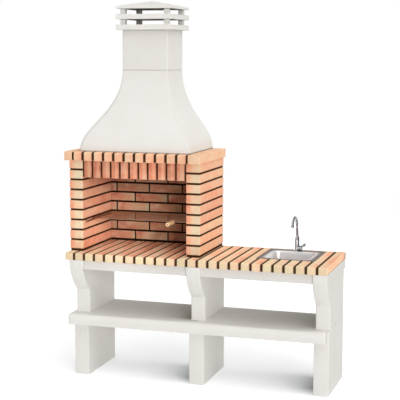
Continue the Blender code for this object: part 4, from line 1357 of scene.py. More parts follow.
@dataclass
class Worktop:
    """Concrete slab, bricks on edge and the mortar comb between them."""

    bricks: int = 25
    nose: float = 0.010
    slack: float = 0.0023
    sink_lap: float = 0.015
    slab_edge: float = 0.0015
    # Even painted shade on the slab, which lies in shade under the bricks.
    slab_painted_shade: float = 0.11
    # Painted shade at the back of the firebox and the right column's painted shadow.
    fire_painted_shade: float = 0.22
    # Painted red bounce light on the bricks inside the firebox.
    fire_bounce_warmth: float = 0.20
    front_warmth: Flat = (0.10, 0.14)
    top_warmth: Flat = (0.20, 0.10)
    right_warmth: float = 0.12
    strip: Corner = (0.72, 0.24, 0.30)
    ripple: Corner = (13.0, 40.0, 0.10)
    tints: dict[int, float] = field(
        default_factory=lambda: {7: 0.16, 11: 0.14, 13: 0.1, 17: 0.16, 19: 0.22, 20: -0.1, 24: 0.02, 25: 0.10}
    )
    # Its bricks get a deeper painted shade on their fronts.
    kiln: Kiln = field(
        default_factory=lambda: Kiln(11, spread=0.08, tones=(0.97, 1.05), painted_front_shade=0.11)
    )

    def build(self) -> None:
        """Make the slab, the bricks and the joints."""
        _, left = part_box("firebox_column_left")
        right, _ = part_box("firebox_column_right")
        self.fire = (left.x, right.x)
        self.column_back = left.y
        self.slab()
        for number in range(1, self.bricks + 1):
            self.brick(number)
        self.rear_brick()
        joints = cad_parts["counter_mortar"].data.materials
        joints.clear()
        joints.append(DECK_JOINTS.material())

    def slab(self) -> None:
        """The slab under the bricks, with the sink's opening and eased edges."""
        low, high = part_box("counter_slab")
        rim_low, rim_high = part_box("sink_bowl")
        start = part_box("upper_leg_left")[0].x
        hole_low = (rim_low.x + self.sink_lap, rim_low.y + self.sink_lap)
        hole_high = (rim_high.x - self.sink_lap, rim_high.y - self.sink_lap)
        patch = blocks(
            [start, hole_low[0], hole_high[0], high.x], [low.y, hole_low[1], hole_high[1], high.y],
            [low.z, high.z],
            lambda x, y, z: not (hole_low[0] < x < hole_high[0] and hole_low[1] < y < hole_high[1]),
        )
        cast("worktop_slab_cast", patch, "counter_slab", bevel=self.slab_edge, soot=self.slab_painted_shade)

    def warmth(self, points: Array, outs: Array) -> Array:
        """Cream on the front end, salmon strips along the top, deeper towards the back, with painted red
        bounce light on the bricks inside the firebox.

        Args:
            points: A brick's points.
            outs: Their ways out.

        Returns:
            The warmth at each point.
        """
        x, y, _ = points.T
        low = x.min()
        across = (x - low) / (x.max() - low)
        front, right = blend_by(outs, 1, -1), blend_by(outs, 0, 1)
        place, width, strip = self.strip
        waves, shift, ripple = self.ripple
        top = self.top_warmth[0] + self.top_warmth[1] * unit((y + 0.33) / 0.62)
        top += strip * peak(across, place, width) + ripple * np.sin(y * waves + low * shift)
        # Painted red bounce light inside the firebox.
        top += self.fire_bounce_warmth * ((x > self.fire[0]) & (x < self.fire[1]))
        ends = self.front_warmth[0] + self.front_warmth[1] * across
        return ends * front + top * (1 - front) + self.right_warmth * right

    def brick(self, number: int) -> None:
        """One brick on edge, nosed at the front.

        Args:
            number: Its number, from the left.
        """
        node = f"counter_brick_{number:02d}"
        low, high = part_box(node)
        arris = self.kiln.arris
        corners = [
            (low.y, low.z, FINE), (high.y, low.z, FINE), (high.y, high.z, arris), (low.y, high.z, self.nose)
        ]
        shell = Shell()
        section = Section.of(corners, 0.009, 5)
        patch = bar(section, Axis.X, low.x + self.slack, high.x - self.slack, BRICK_STEP, arris)
        laid = [end for end, bare in zip(ENDS, (1, self.bricks)) if number != bare]
        self.kiln.brick(shell, patch, Axis.Y, self.warmth, self.tints.get(number), laid)
        # Painted shade and shadow at the back of the firebox.
        shell.paint("soot", self.soot)
        fit(shell.make(f"worktop_brick_{number:02d}"), Body.MASONRY, DECK_BRICK, node)

    def soot(self, points: Array) -> Array:
        """Painted shade on the bricks at the back of the fire, and the right column's painted shadow beside
        it.

        Args:
            points: A brick's points.

        Returns:
            The painted shade at each point.
        """
        x, y, _ = points.T
        left, right = self.fire
        low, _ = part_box("firebox_back_wall")
        back = unit((y - low.y + 0.26) / 0.22)
        side = unit((x - right + 0.12) / 0.12) * (y > self.column_back - 0.40)
        return self.fire_painted_shade * np.clip(back + side, 0.0, 1.3) * ((x > left) & (x < right))

    def rear_brick(self) -> None:
        """The brick laid along the wall behind the sink."""
        low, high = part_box("counter_brick_rear")
        section = Section.box((low.y, low.z), (high.y, high.z), self.kiln.arris, 0.009)
        shell = Shell()
        patch = bar(section, Axis.X, low.x, high.x, BRICK_STEP, self.kiln.arris)
        self.kiln.brick(shell, patch, Axis.X, self.warmth)
        fit(shell.make("worktop_brick_rear"), Body.MASONRY, DECK_BRICK, "counter_brick_rear")


@dataclass
class Firebox:
    """Brick columns, the wall behind the fire and the lintel over its mouth."""

    rake: float = 0.004
    slack: float = 0.0019
    courses: int = 9
    brick: float = 0.060
    joint: float = 0.008
    bed: float = 0.014
    front_warmth: Flat = (0.60, 0.44)
    side_warmth: Flat = (0.46, 0.12)
    pale_from: Flat = (0.14, 0.42)
    bond_brick: float = 0.238
    bond_firsts: Flat = (0.180, 0.041)
    bond_arris: float = 0.002
    wall_warmth: Flat = (0.78, 0.42)
    wall_end_warmth: Flat = (0.22, 0.012)
    lintel_bricks: int = 11
    lintel_joint: float = 0.011
    lintel_warmth: float = 0.80
    lintel_band: Corner = (0.66, 0.2, 0.34)
    # Painted shadow of the right column on the back wall's right end.
    right_painted_shadow: float = 0.68
    right_shadow_reach: float = 0.40
    # Painted shade towards the back of the columns' inner faces.
    inner_painted_shade: float = 0.17
    inner_shade_depths: Flat = (0.22, 0.24)
    kiln: Kiln = field(default_factory=lambda: Kiln(23))

    def build(self) -> None:
        """Make the walls and the lintel."""
        self.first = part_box("firebox_column_left")[0].z - SEAT + self.bed
        for side in Side:
            self.column(side)
        self.back_wall()
        self.lintel()

    def course(self, section: Section, row: int, arris: float) -> Patch:
        """One brick of a wall, in its course."""
        bottom = self.first + row * (self.brick + self.joint) + self.slack
        return bar(section, Axis.Z, bottom, bottom + self.brick - 2 * self.slack, BRICK_STEP, arris)

    def column(self, side: Side) -> None:
        """Nine long bricks with raked joints.

        Args:
            side: Which of the two columns.
        """
        node = f"firebox_column_{side.word}"
        low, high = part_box(node)
        width = high.x - low.x

        def warmth(points: Array, outs: Array) -> Array:
            """Salmon to cream across the front, salmon along the sides."""
            start, span = self.pale_from
            pale = smooth(unit(((points[:, 0] - low.x) / width - start) / span))
            front, inner = blend_by(outs, 1, -1), blend_by(outs, 0, -side.value)
            ends = self.front_warmth[0] - self.front_warmth[1] * pale
            return ends * front + (self.side_warmth[0] + self.side_warmth[1] * inner) * (1 - front)

        def soot(points: Array) -> Array:
            """Painted shade at the back of the face towards the fire."""
            start, span = self.inner_shade_depths
            inner = ((low.x + high.x) / 2 - points[:, 0]) * side.value > width / 2 - 0.006
            return self.inner_painted_shade * inner * unit((points[:, 1] - low.y - start) / span)

        section = Section.box((low.x, low.y), (high.x, high.y), self.kiln.arris, 0.010)
        shell = Shell()
        for row in range(self.courses):
            patch = self.course(section, row, self.kiln.arris)
            self.kiln.brick(shell, patch, Axis.Y, warmth, None, BEDS)
        shell.paint("soot", soot)
        fit(shell.make(f"column_bricks_{side.word}"), Body.MASONRY, WALL_BRICK, node)
        inset = Vector((self.rake, self.rake, 0.0))
        mortar(f"column_joints_{side.word}", node, low + inset, high - inset, 4.0)

    def back_wall(self) -> None:
        """Running bond behind the fire."""
        node = "firebox_back_wall"
        low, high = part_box(node)
        shell = Shell()
        for row in range(self.courses):
            left = low.x + FINE
            joint = low.x - SEAT + self.bond_firsts[row % 2]
            while left < high.x - 0.01:
                right = min(joint, high.x)

                def warmth(points: Array, outs: Array) -> Array:
                    """Red at the left end, tan in the middle, paler at both ends."""
                    along = (points[:, 0] - left) / (right - left)
                    ends = np.maximum(np.minimum(points[:, 0] - left, right - points[:, 0]), 0.0)
                    pale = self.wall_end_warmth[0] * np.exp(-ends / self.wall_end_warmth[1])
                    return self.wall_warmth[0] - self.wall_warmth[1] * along - pale

                section = Section.box((left, low.y), (right - FINE, high.y), self.bond_arris, 0.012)
                patch = self.course(section, row, self.bond_arris)
                self.kiln.brick(shell, patch, Axis.X, warmth, None, ENDS + BEDS)
                left = joint + self.joint
                joint += self.bond_brick + self.joint

        def soot(points: Array) -> Array:
            """Painted shadow of the right column on the right end of the wall's inner face."""
            right_end = unit((points[:, 0] - high.x + self.right_shadow_reach) / self.right_shadow_reach)
            return self.right_painted_shadow * right_end ** 1.5 * (points[:, 1] < high.y - 0.01)

        # Painted shadow of the right column.
        shell.paint("soot", soot)
        fit(shell.make("hearth_wall_bricks"), Body.MASONRY, HEARTH_BRICK, node)
        section = Section.box((low.x, low.y + self.rake), (high.x, high.y - self.rake), 0.0005, 0.03, 2)
        patch = bar(section, Axis.Z, low.z, high.z, 0.03)
        fit(Shell().add(patch).make("hearth_wall_joints"), Body.MASONRY, HEARTH_JOINTS, node)

    def lintel(self) -> None:
        """Upright bricks between the columns."""
        node = "lintel"
        low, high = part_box(node)
        left, right = low.x - SEAT, high.x + SEAT
        gaps = (self.lintel_bricks + 1) * self.lintel_joint
        width = (right - left - gaps) / self.lintel_bricks
        section = Section.box((low.y, low.z), (high.y, high.z), self.kiln.arris, BRICK_STEP)
        place, band, pale = self.lintel_band
        shell = Shell()
        for i in range(self.lintel_bricks):
            start = left + self.lintel_joint + i * (width + self.lintel_joint)

            def warmth(points: Array, outs: Array) -> Array:
                """Deeper at the two sides, with a paler band between."""
                return self.lintel_warmth - pale * peak((points[:, 0] - start) / width, place, band)

            patch = bar(section, Axis.X, start + SEAT, start + width - SEAT, 0.009, self.kiln.arris)
            self.kiln.brick(shell, patch, Axis.Z, warmth, None, ENDS)
        fit(shell.make("lintel_bricks"), Body.MASONRY, SHADED_LINTEL_BRICK, node)
        inset = Vector((0.0, self.rake, self.rake))
        mortar("lintel_joints", node, low + inset, high - inset, 4.0)


@dataclass
class Crown:
    """The brick frame that carries the hood."""

    rake: float = 0.004
    nose: float = 0.014
    bricks: int = 11
    brick: float = 0.061
    joint: float = 0.012
    slack: float = 0.0024
    side_joint: float = 0.006
    rear_bricks: int = 3
    row_warmth: Corner = (0.30, 0.30, 0.06)
    front_warmth: float = 0.30
    side_warmth: float = 0.42
    rear_warmth: float = 0.5
    kiln: Kiln = field(default_factory=lambda: Kiln(37, spread=0.07))

    def build(self) -> None:
        """Make the front row, the sides and the rear."""
        self.front_row()
        for side in Side:
            self.side(side)
        self.rear()

    def front_row(self) -> None:
        """Eleven nosed bricks with wide dark joints."""
        node = "crown_front"
        low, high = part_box(node)
        arris, rake = self.kiln.arris, self.rake
        corners = ((low.y, low.z), (high.y, low.z), (high.y, high.z))
        corners = [(*corner, arris) for corner in corners] + [(low.y, high.z, self.nose)]
        section = Section.of(corners, 0.009, 6)
        shell = Shell()
        for i in range(self.bricks):
            start = low.x - SEAT + self.joint + i * (self.brick + self.joint)

            def warmth(points: Array, outs: Array) -> Array:
                """Cream at one side to salmon at the other, paler over the nose."""
                least, more, pale = self.row_warmth
                across = (points[:, 0] - start) / self.brick
                return least + more * across - pale * blend_by(outs, 2, 1)

            end = start + self.brick
            patch = bar(section, Axis.X, start + self.slack, end - self.slack, 0.009, arris)
            self.kiln.brick(shell, patch, Axis.Y, warmth, None, ENDS)
        fit(shell.make("crown_row_bricks"), Body.MASONRY, WALL_BRICK, node)
        corners = [(low.y + rake, low.z + rake, 0.0), (high.y, low.z + rake, 0.0)]
        corners += [(high.y, high.z - rake, 0.0), (low.y + rake, high.z - rake, self.nose)]
        patch = bar(Section.of(corners, 0.02, 6), Axis.X, low.x, high.x, 0.02)
        patch = patch.worn(*MORTAR_WEAR, 6.0)
        fit(Shell().add(patch).make("crown_row_joints"), Body.MASONRY, JOINTS, node)

    def side(self, side: Side) -> None:
        """A long brick from front to back, and a shorter one inside it.

        Args:
            side: Which of the two sides.
        """
        node = f"crown_{side.word}"
        low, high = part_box(node)
        row_low, row_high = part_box("crown_front")
        rake = self.rake
        if side is Side.LEFT:
            long_way = (low.x, row_low.x - SEAT)
            short_way = (long_way[1] + self.side_joint, high.x)
            core = (low.x + rake, high.x - FINE)
        else:
            long_way = (row_high.x + SEAT, high.x)
            short_way = (low.x, long_way[0] - self.side_joint)
            core = (low.x + FINE, high.x - rake)

        def warmth(points: Array, outs: Array) -> Array:
            """Cream at the front end, salmon along the side."""
            front = blend_by(outs, 1, -1)
            return self.front_warmth * front + self.side_warmth * (1 - front)

        shell = Shell()
        for start, (left, right) in ((low.y, long_way), (row_high.y + self.side_joint, short_way)):
            section = Section.box((left, low.z), (right, high.z), self.kiln.arris, 0.009)
            patch = bar(section, Axis.Y, start, high.y, 0.012, self.kiln.arris)
            self.kiln.brick(shell, patch, Axis.Y, warmth)
        fit(shell.make(f"crown_bricks_{side.word}"), Body.MASONRY, WALL_BRICK, node)
        core_low = (core[0], row_high.y + rake, low.z + FINE)
        core_high = (core[1], high.y - rake, high.z - rake)
        mortar(f"crown_joints_{side.word}", node, core_low, core_high, 6.0)

    def rear(self) -> None:
        """Three bricks along the back."""
        node = "crown_rear"
        low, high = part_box(node)
        count, rake = self.rear_bricks, self.rake
        width = (high.x - low.x - (count - 1) * self.joint) / count
        section = Section.box((low.y, low.z), (high.y, high.z), self.kiln.arris, 0.009)
        shell = Shell()
        for i in range(count):
            start = low.x + i * (width + self.joint)
            patch = bar(section, Axis.X, start, start + width, 0.012, self.kiln.arris)
            self.kiln.brick(shell, patch, Axis.X, lambda points, outs: np.full(len(points), self.rear_warmth))
        fit(shell.make("crown_rear_bricks"), Body.MASONRY, WALL_BRICK, node)
        core_low = (low.x + rake, low.y + rake, low.z)
        mortar("crown_rear_joints", node, core_low, (high.x - rake, high.y - rake, high.z - rake), 6.0)


# Steps round each corner of a chimney's ring, and along each side between two corners.
RING_BEND = 8
RING_RUN = 10


@dataclass
class Chimney:
    """Bell hood, square flue, vent rings and cap."""

    wall: float = 0.035
    foot_radius: float = 0.020
    neck_radius: float = 0.008
    belly_radius: float = 0.022
    lining_radius: float = 0.010
    rise_shares: tuple[float, ...] = (0.0, 0.33, 0.50, 1.0)
    inset_shares: tuple[float, ...] = (0.0, 0.02, 0.98, 1.0)
    rings: int = 64
    ease: float = 0.002
    plate: float = 0.034
    overhang: float = 0.035
    post: float = 0.035
    post_inset: float = 0.025
    cap_edge: float = 0.017
    cap_peak: float = 0.007
    cap_lip: float = 0.012
    bevel: float = 0.003
    # Painted shadow along the hood's foot.
    foot_line: float = 0.008
    foot_painted_shadow: float = 0.85
    # Painted shade on the fronts and right front corners of the hood and flue.
    hood_shades: Flat = (0.030, 0.115)
    flue_shades: Flat = (0.055, 0.045)
    # Painted shadow along the flue's seam and under the ring above it.
    seam: float = 0.005
    seam_painted_shadow: float = 0.26
    flue_top_painted_shadow: float = 0.07
    flue_shade: float = 0.045
    # Painted shade under the rings and the cap, and on the back left posts.
    ring_soot: float = 0.65
    back_post_painted_shade: float = 0.40

    def build(self) -> None:
        """Make the concrete pieces from the crown up."""
        self.hood()
        self.flue()
        for name in ("lower", "upper"):
            self.vent_ring(name)
        self.cap()

    @staticmethod
    def curve(shares: Sequence[float], along: float) -> float:
        """A cubic through its first and last share, pulled to the two between.

        Args:
            shares: The four shares.
            along: How far along it is, from 0 to 1.

        Returns:
            The share there.
        """
        back = 1 - along
        a, b, c, d = shares
        return a * back ** 3 + 3 * b * back ** 2 * along + 3 * c * back * along ** 2 + d * along ** 3

    def hood(self) -> None:
        """A hollow bell with a straight back."""
        low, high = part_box("hood")
        neck_low, neck_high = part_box("flue")
        outer, inner = [], []
        for i in [0.0, 0.5] + list(range(1, self.rings + 1)):
            inset = self.curve(self.inset_shares, i / self.rings)
            z = low.z + (high.z - low.z) * self.curve(self.rise_shares, i / self.rings)
            left = low.x + (neck_low.x - low.x) * inset
            right = high.x + (neck_high.x - high.x) * inset
            front = low.y + (neck_low.y - low.y) * inset
            radius = self.foot_radius + (self.neck_radius - self.foot_radius) * inset
            radius += self.belly_radius * math.sin(math.pi * inset)
            for rings, wall, corner in ((outer, 0.0, radius), (inner, self.wall, self.lining_radius)):
                near, far = (left + wall, front + wall), (right - wall, high.y - wall)
                rings.append(level(self.even_box(near, far, corner), z))
        patch = rings_patch(outer + inner[::-1], True)
        # Painted shadow along the foot, and painted shade on the front and the right front corner.
        soot = self.foot_painted_shadow * unit(1 - (patch.points[:, 2] - low.z) / self.foot_line)
        soot = np.maximum(soot, self.shades(len(soot), *self.hood_shades))
        cast("hood_cast", patch, "hood", 60, soot=soot)

    @staticmethod
    def even_box(low: Flat, high: Flat, radius: float) -> Array:
        """A rounded rectangle with the same number of points at every size.

        Args:
            low: Its lowest corner.
            high: Its highest.
            radius: Radius of its corners.

        Returns:
            Its points, anticlockwise from the right front corner.
        """
        middle = ((low[0] + high[0]) / 2, (low[1] + high[1]) / 2)
        corners = ((high[0], low[1]), (high[0], high[1]), (low[0], high[1]), (low[0], low[1]))
        arcs = []
        for quarter, corner in enumerate(corners):
            x, y = (place - math.copysign(radius, place - half) for place, half in zip(corner, middle))
            turns = [math.pi / 2 * (quarter - 1 + k / RING_BEND) for k in range(RING_BEND + 1)]
            arcs.append([(x + radius * math.cos(turn), y + radius * math.sin(turn)) for turn in turns])
        points = []
        for i, arc in enumerate(arcs):
            ends = list(zip(arc[-1], arcs[(i + 1) % len(arcs)][0]))
            points += arc
            points += [tuple(a + (b - a) * (k / RING_RUN) for a, b in ends) for k in range(1, RING_RUN)]
        return np.array(points)

    @staticmethod
    def shades(count: int, front: float, corner: float) -> Array:
        """Painted shade on such rings, on the front and the right front corner.

        Args:
            count: How many points the rings have.
            front: Strength on the front.
            corner: Strength on the corner.

        Returns:
            The painted shade at each point.
        """
        side, step = np.divmod(np.arange(count), RING_BEND + RING_RUN)
        turns = math.pi / 2 * (side % 4 - 1 + np.minimum(step, RING_BEND) / RING_BEND)
        right = np.cos(turns) > 0
        return front * unit(-np.sin(turns)) + corner * unit(-np.sin(2 * turns)) * right

    def flue(self) -> None:
        """A straight square pipe, with painted shadow along its seam and under the ring above."""
        low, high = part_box("flue")
        wall, seam = self.wall, low.z + self.seam
        outside = self.even_box((low.x, low.y), (high.x, high.y), self.neck_radius)
        lining = ((low.x + wall, low.y + wall), (high.x - wall, high.y - wall))
        inside = self.even_box(*lining, self.lining_radius)
        middle = (outside.min(0) + outside.max(0)) / 2
        eased = middle + (outside - middle) * (1 - 2 * self.ease / (high.x - low.x))
        shaded = high.z - self.flue_shade
        rings = [level(eased, low.z)]
        rings += [level(outside, z) for z in (low.z + self.ease, seam, seam + FINE, shaded, high.z)]
        patch = rings_patch(rings + [level(inside, high.z), level(inside, low.z)], True)
        heights = patch.points[:, 2]
        # Painted shadow under the ring above and along the seam, and painted shade on the front and right
        # front corner.
        soot = self.flue_top_painted_shadow * unit((heights - shaded) / self.flue_shade)
        soot += self.shades(len(soot), *self.flue_shades) + self.seam_painted_shadow * (heights < seam + FINE / 2)
        cast("flue_cast", patch, "flue", 40, soot=soot)

    def vent_ring(self, place: str) -> None:
        """A square ring with four posts on it.

        Args:
            place: lower or upper.
        """
        node = f"cap_ring_{place}"
        low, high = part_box(node)
        hole = self.overhang + self.wall
        near, far = self.post_inset, self.post_inset + self.post
        marks = (0.0, near, far, hole)
        ends = zip(low.xy, high.xy)
        xs, ys = ([a + mark for mark in marks] + [b - mark for mark in marks] for a, b in ends)
        top = low.z + self.plate

        def keep(x: float, y: float, z: float) -> bool:
            """Ring below, posts above."""
            side, end = min(x - low.x, high.x - x), min(y - low.y, high.y - y)
            if z < top:
                return min(side, end) < hole
            return near < side < far and near < end < far

        patch = blocks(xs, ys, [low.z, top, high.z], keep)
        x, y, z = patch.points.T
        middle = (low + high) / 2
        edge = np.minimum(patch.points - np.array(low), np.array(high) - patch.points)[:, :2].min(axis=1)
        # Painted shade on the underside and on the back left post.
        under = self.ring_soot * (z < low.z + FINE)
        back = self.back_post_painted_shade * ((y > middle.y) & (x < middle.x) & (z > top - FINE))
        soot = np.where(edge > FINE, under + back, 0.0)
        cast(f"vent_ring_{place}_cast", patch, node, bevel=self.bevel, soot=soot)

    def cap(self) -> None:
        """A low pyramid on a square plate."""
        low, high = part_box("cap_top")
        plan = np.array([(low.x, low.y), (high.x, low.y), (high.x, high.y), (low.x, high.y)])
        ways = np.array([(-1, -1), (1, -1), (1, 1), (-1, 1)])
        point = np.array(((low + high) / 2).xy) + ways * self.cap_peak
        levels = (
            (plan - ways * self.cap_lip, low.z), (plan, low.z), (plan, low.z + self.cap_edge), (point, high.z)
        )
        patch = rings_patch([level(flat, z) for flat, z in levels], False)
        # Painted shade on the cap's underside.
        soot = np.where(np.arange(len(patch.points)) < len(plan), self.ring_soot, 0.0)
        cast("cap_cast", patch, "cap_top", 5, self.bevel, 8, soot=soot)


# Sink and tap


@dataclass
class Sink:
    """Pressed steel sink with its waste and plug."""

    margin: float = 0.035
    side_margin: float = 0.052
    ledge: float = 0.087
    sheet: float = 0.0015
    depth: float = 0.125
    corner: float = 0.045
    draft: float = 0.012
    lip: float = 0.005
    floor_radius: float = 0.022
    wall_steps: int = 6
    hole: float = 0.030
    floor_shares: tuple[float, ...] = (0.35, 0.7, 0.93, 1.0)
    floor_sag: float = 0.0012
    rim_fold: float = 0.006
    rim_rows: tuple[Flat, ...] = ((0.0, 0.0), (0.5, 0.0), (0.94, 0.0), (1.0, 0.0004))
    bore: float = 0.0257
    sleeve: float = 0.0297
    flange: float = 0.036
    nut: float = 0.037
    nut_height: float = 0.008
    stem: float = 0.0254
    cover: float = 0.0357
    knob: float = 0.007
    knob_neck: float = 0.004

    def build(self) -> None:
        """Make the bowl, the waste and the plug."""
        self.bowl()
        self.waste()
        self.plug()

    @staticmethod
    def centre(node: str) -> Vector:
        """The middle of a node, seen from above."""
        low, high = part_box(node)
        return ((low + high) / 2).xy

    def folds(self) -> list[Flat]:
        """The bowl's walls, from the lip down to the floor.

        Returns:
            How far in from the mouth and how far up from the rim each ring lies.
        """
        lip = self.lip
        rows = [(-lip, 0.0), (-lip * 0.5, -0.0003), (-lip * 0.13, -lip * 0.35), (0.0, -lip)]
        reach = self.depth - lip - self.floor_radius
        for k in range(1, self.wall_steps + 1):
            share = k / self.wall_steps
            rows.append((self.draft * share, -lip - reach * share))
        for k in range(1, 9):
            inward, upward = (self.floor_radius * part for part in turned(k / 8))
            rows.append((self.draft + inward, -self.depth + upward))
        return rows

    def bowl(self) -> None:
        """Rim, drafted walls, rounded foot and floor, as one folded sheet."""
        low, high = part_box("sink_bowl")
        top, centre = high.z, self.centre("sink_waste")
        mouth_low = (low.x + self.side_margin, low.y + self.margin)
        mouth_high = (high.x - self.side_margin, high.y - self.ledge)
        mouth = Section.box(mouth_low, mouth_high, self.corner, 0.012, 12)
        inside, outside = [], []
        for inset, rise in self.folds():
            inside.append(level(mouth.inset(inset), top + rise))
            under = max(0.0, inset - self.sheet) if rise < -self.lip else inset
            outside.append(level(mouth.inset(under), top + rise - self.sheet))
        foot = inside[-1][:, :2]
        angles = np.arctan2(foot[:, 1] - centre.y, foot[:, 0] - centre.x)
        hole = np.column_stack(
            [centre.x + self.hole * np.cos(angles), centre.y + self.hole * np.sin(angles)]
        )
        floor = []
        for share in self.floor_shares:
            sag = self.floor_sag * math.sin(math.pi * share) ** 2
            floor.append(level(foot * (1 - share) + hole * share, top - self.depth - sag))
        rim = self.rim(mouth, low, high)
        down = np.array([0.0, 0.0, self.sheet])
        upper = floor[::-1] + inside[::-1]
        rim_under, floor_under = ([ring - down for ring in rings] for rings in (rim[::-1], floor))
        patch = rings_patch(upper + rim + rim_under + outside + floor_under, True)
        # The rim band, darkened by a painted reflection.
        shade = np.zeros(len(patch.points))
        count = len(mouth.points)
        shade[(len(upper) + 1) * count:(len(upper) + len(rim)) * count] = 1.0
        fit(Shell().add(patch, rim=shade).make("sink_pressed", 50), Body.MASONRY, SINK_STEEL, "sink_bowl")

    def rim(self, mouth: Section, low: Vector, high: Vector) -> list[Array]:
        """Rings from the mouth out to the rim's edge, one point for each of the mouth's.

        Args:
            mouth: The bowl's mouth.
            low: The sink's lowest corner.
            high: Its highest.

        Returns:
            The rings, from the mouth outwards.
        """
        middle = (mouth.points.min(0) + mouth.points.max(0)) / 2
        ways = mouth.points - middle
        room = np.where(ways > 0, np.array(high.xy) - middle, middle - np.array(low.xy))
        edge = middle + ways * (room / np.maximum(np.abs(ways), 1e-9)).min(axis=1, keepdims=True)
        inner = mouth.inset(-self.rim_fold)
        return [level(inner * (1 - share) + edge * share, high.z - drop) for share, drop in self.rim_rows]

    def waste(self) -> None:
        """Flanged waste with its nut under the bowl."""
        low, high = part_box("sink_waste")
        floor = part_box("sink_bowl")[1].z - self.depth
        under, seat = floor - self.sheet - SEAT, floor + SEAT
        nut_foot = under - self.nut_height
        bore, sleeve, flange, nut = self.bore, self.sleeve, self.flange, self.nut
        profile = [
            (bore, low.z, 0.0), (sleeve, low.z, 0.0006), (sleeve, nut_foot, 0.0), (nut, nut_foot, 0.001),
            (nut, under, 0.001), (sleeve, under, 0.0), (sleeve, seat, 0.0), (flange, seat, 0.0006),
            (flange, high.z, 0.0012), (bore, high.z, 0.0012),
        ]
        patch = lathe(profile, Axis.Z, self.centre("sink_waste"), 48, True, 3)
        fit(Shell().add(patch).make("waste_turned"), Body.MASONRY, SINK_STEEL, "sink_waste")

    def plug(self) -> None:
        """Rubber plug with a turned knob."""
        low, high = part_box("sink_plug")
        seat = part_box("sink_waste")[1].z + SEAT
        stem, cover, knob, neck = self.stem, self.cover, self.knob, self.knob_neck
        profile = [
            (stem - 0.002, low.z, 0.001), (stem, seat - 0.001, 0.0005), (cover, seat, 0.0008),
            (cover - 0.002, seat + 0.005, 0.0015), (0.012, seat + 0.0044, 0.002),
            (neck, seat + 0.006, 0.002), (neck, seat + 0.009, 0.001), (knob, seat + 0.0115, 0.002),
            (neck, high.z, 0.001),
        ]
        patch = lathe(profile, Axis.Z, self.centre("sink_plug"), 48, False, 4)
        fit(Shell().add(patch).make("plug_moulded"), Body.PLUG, RUBBER, "sink_plug")


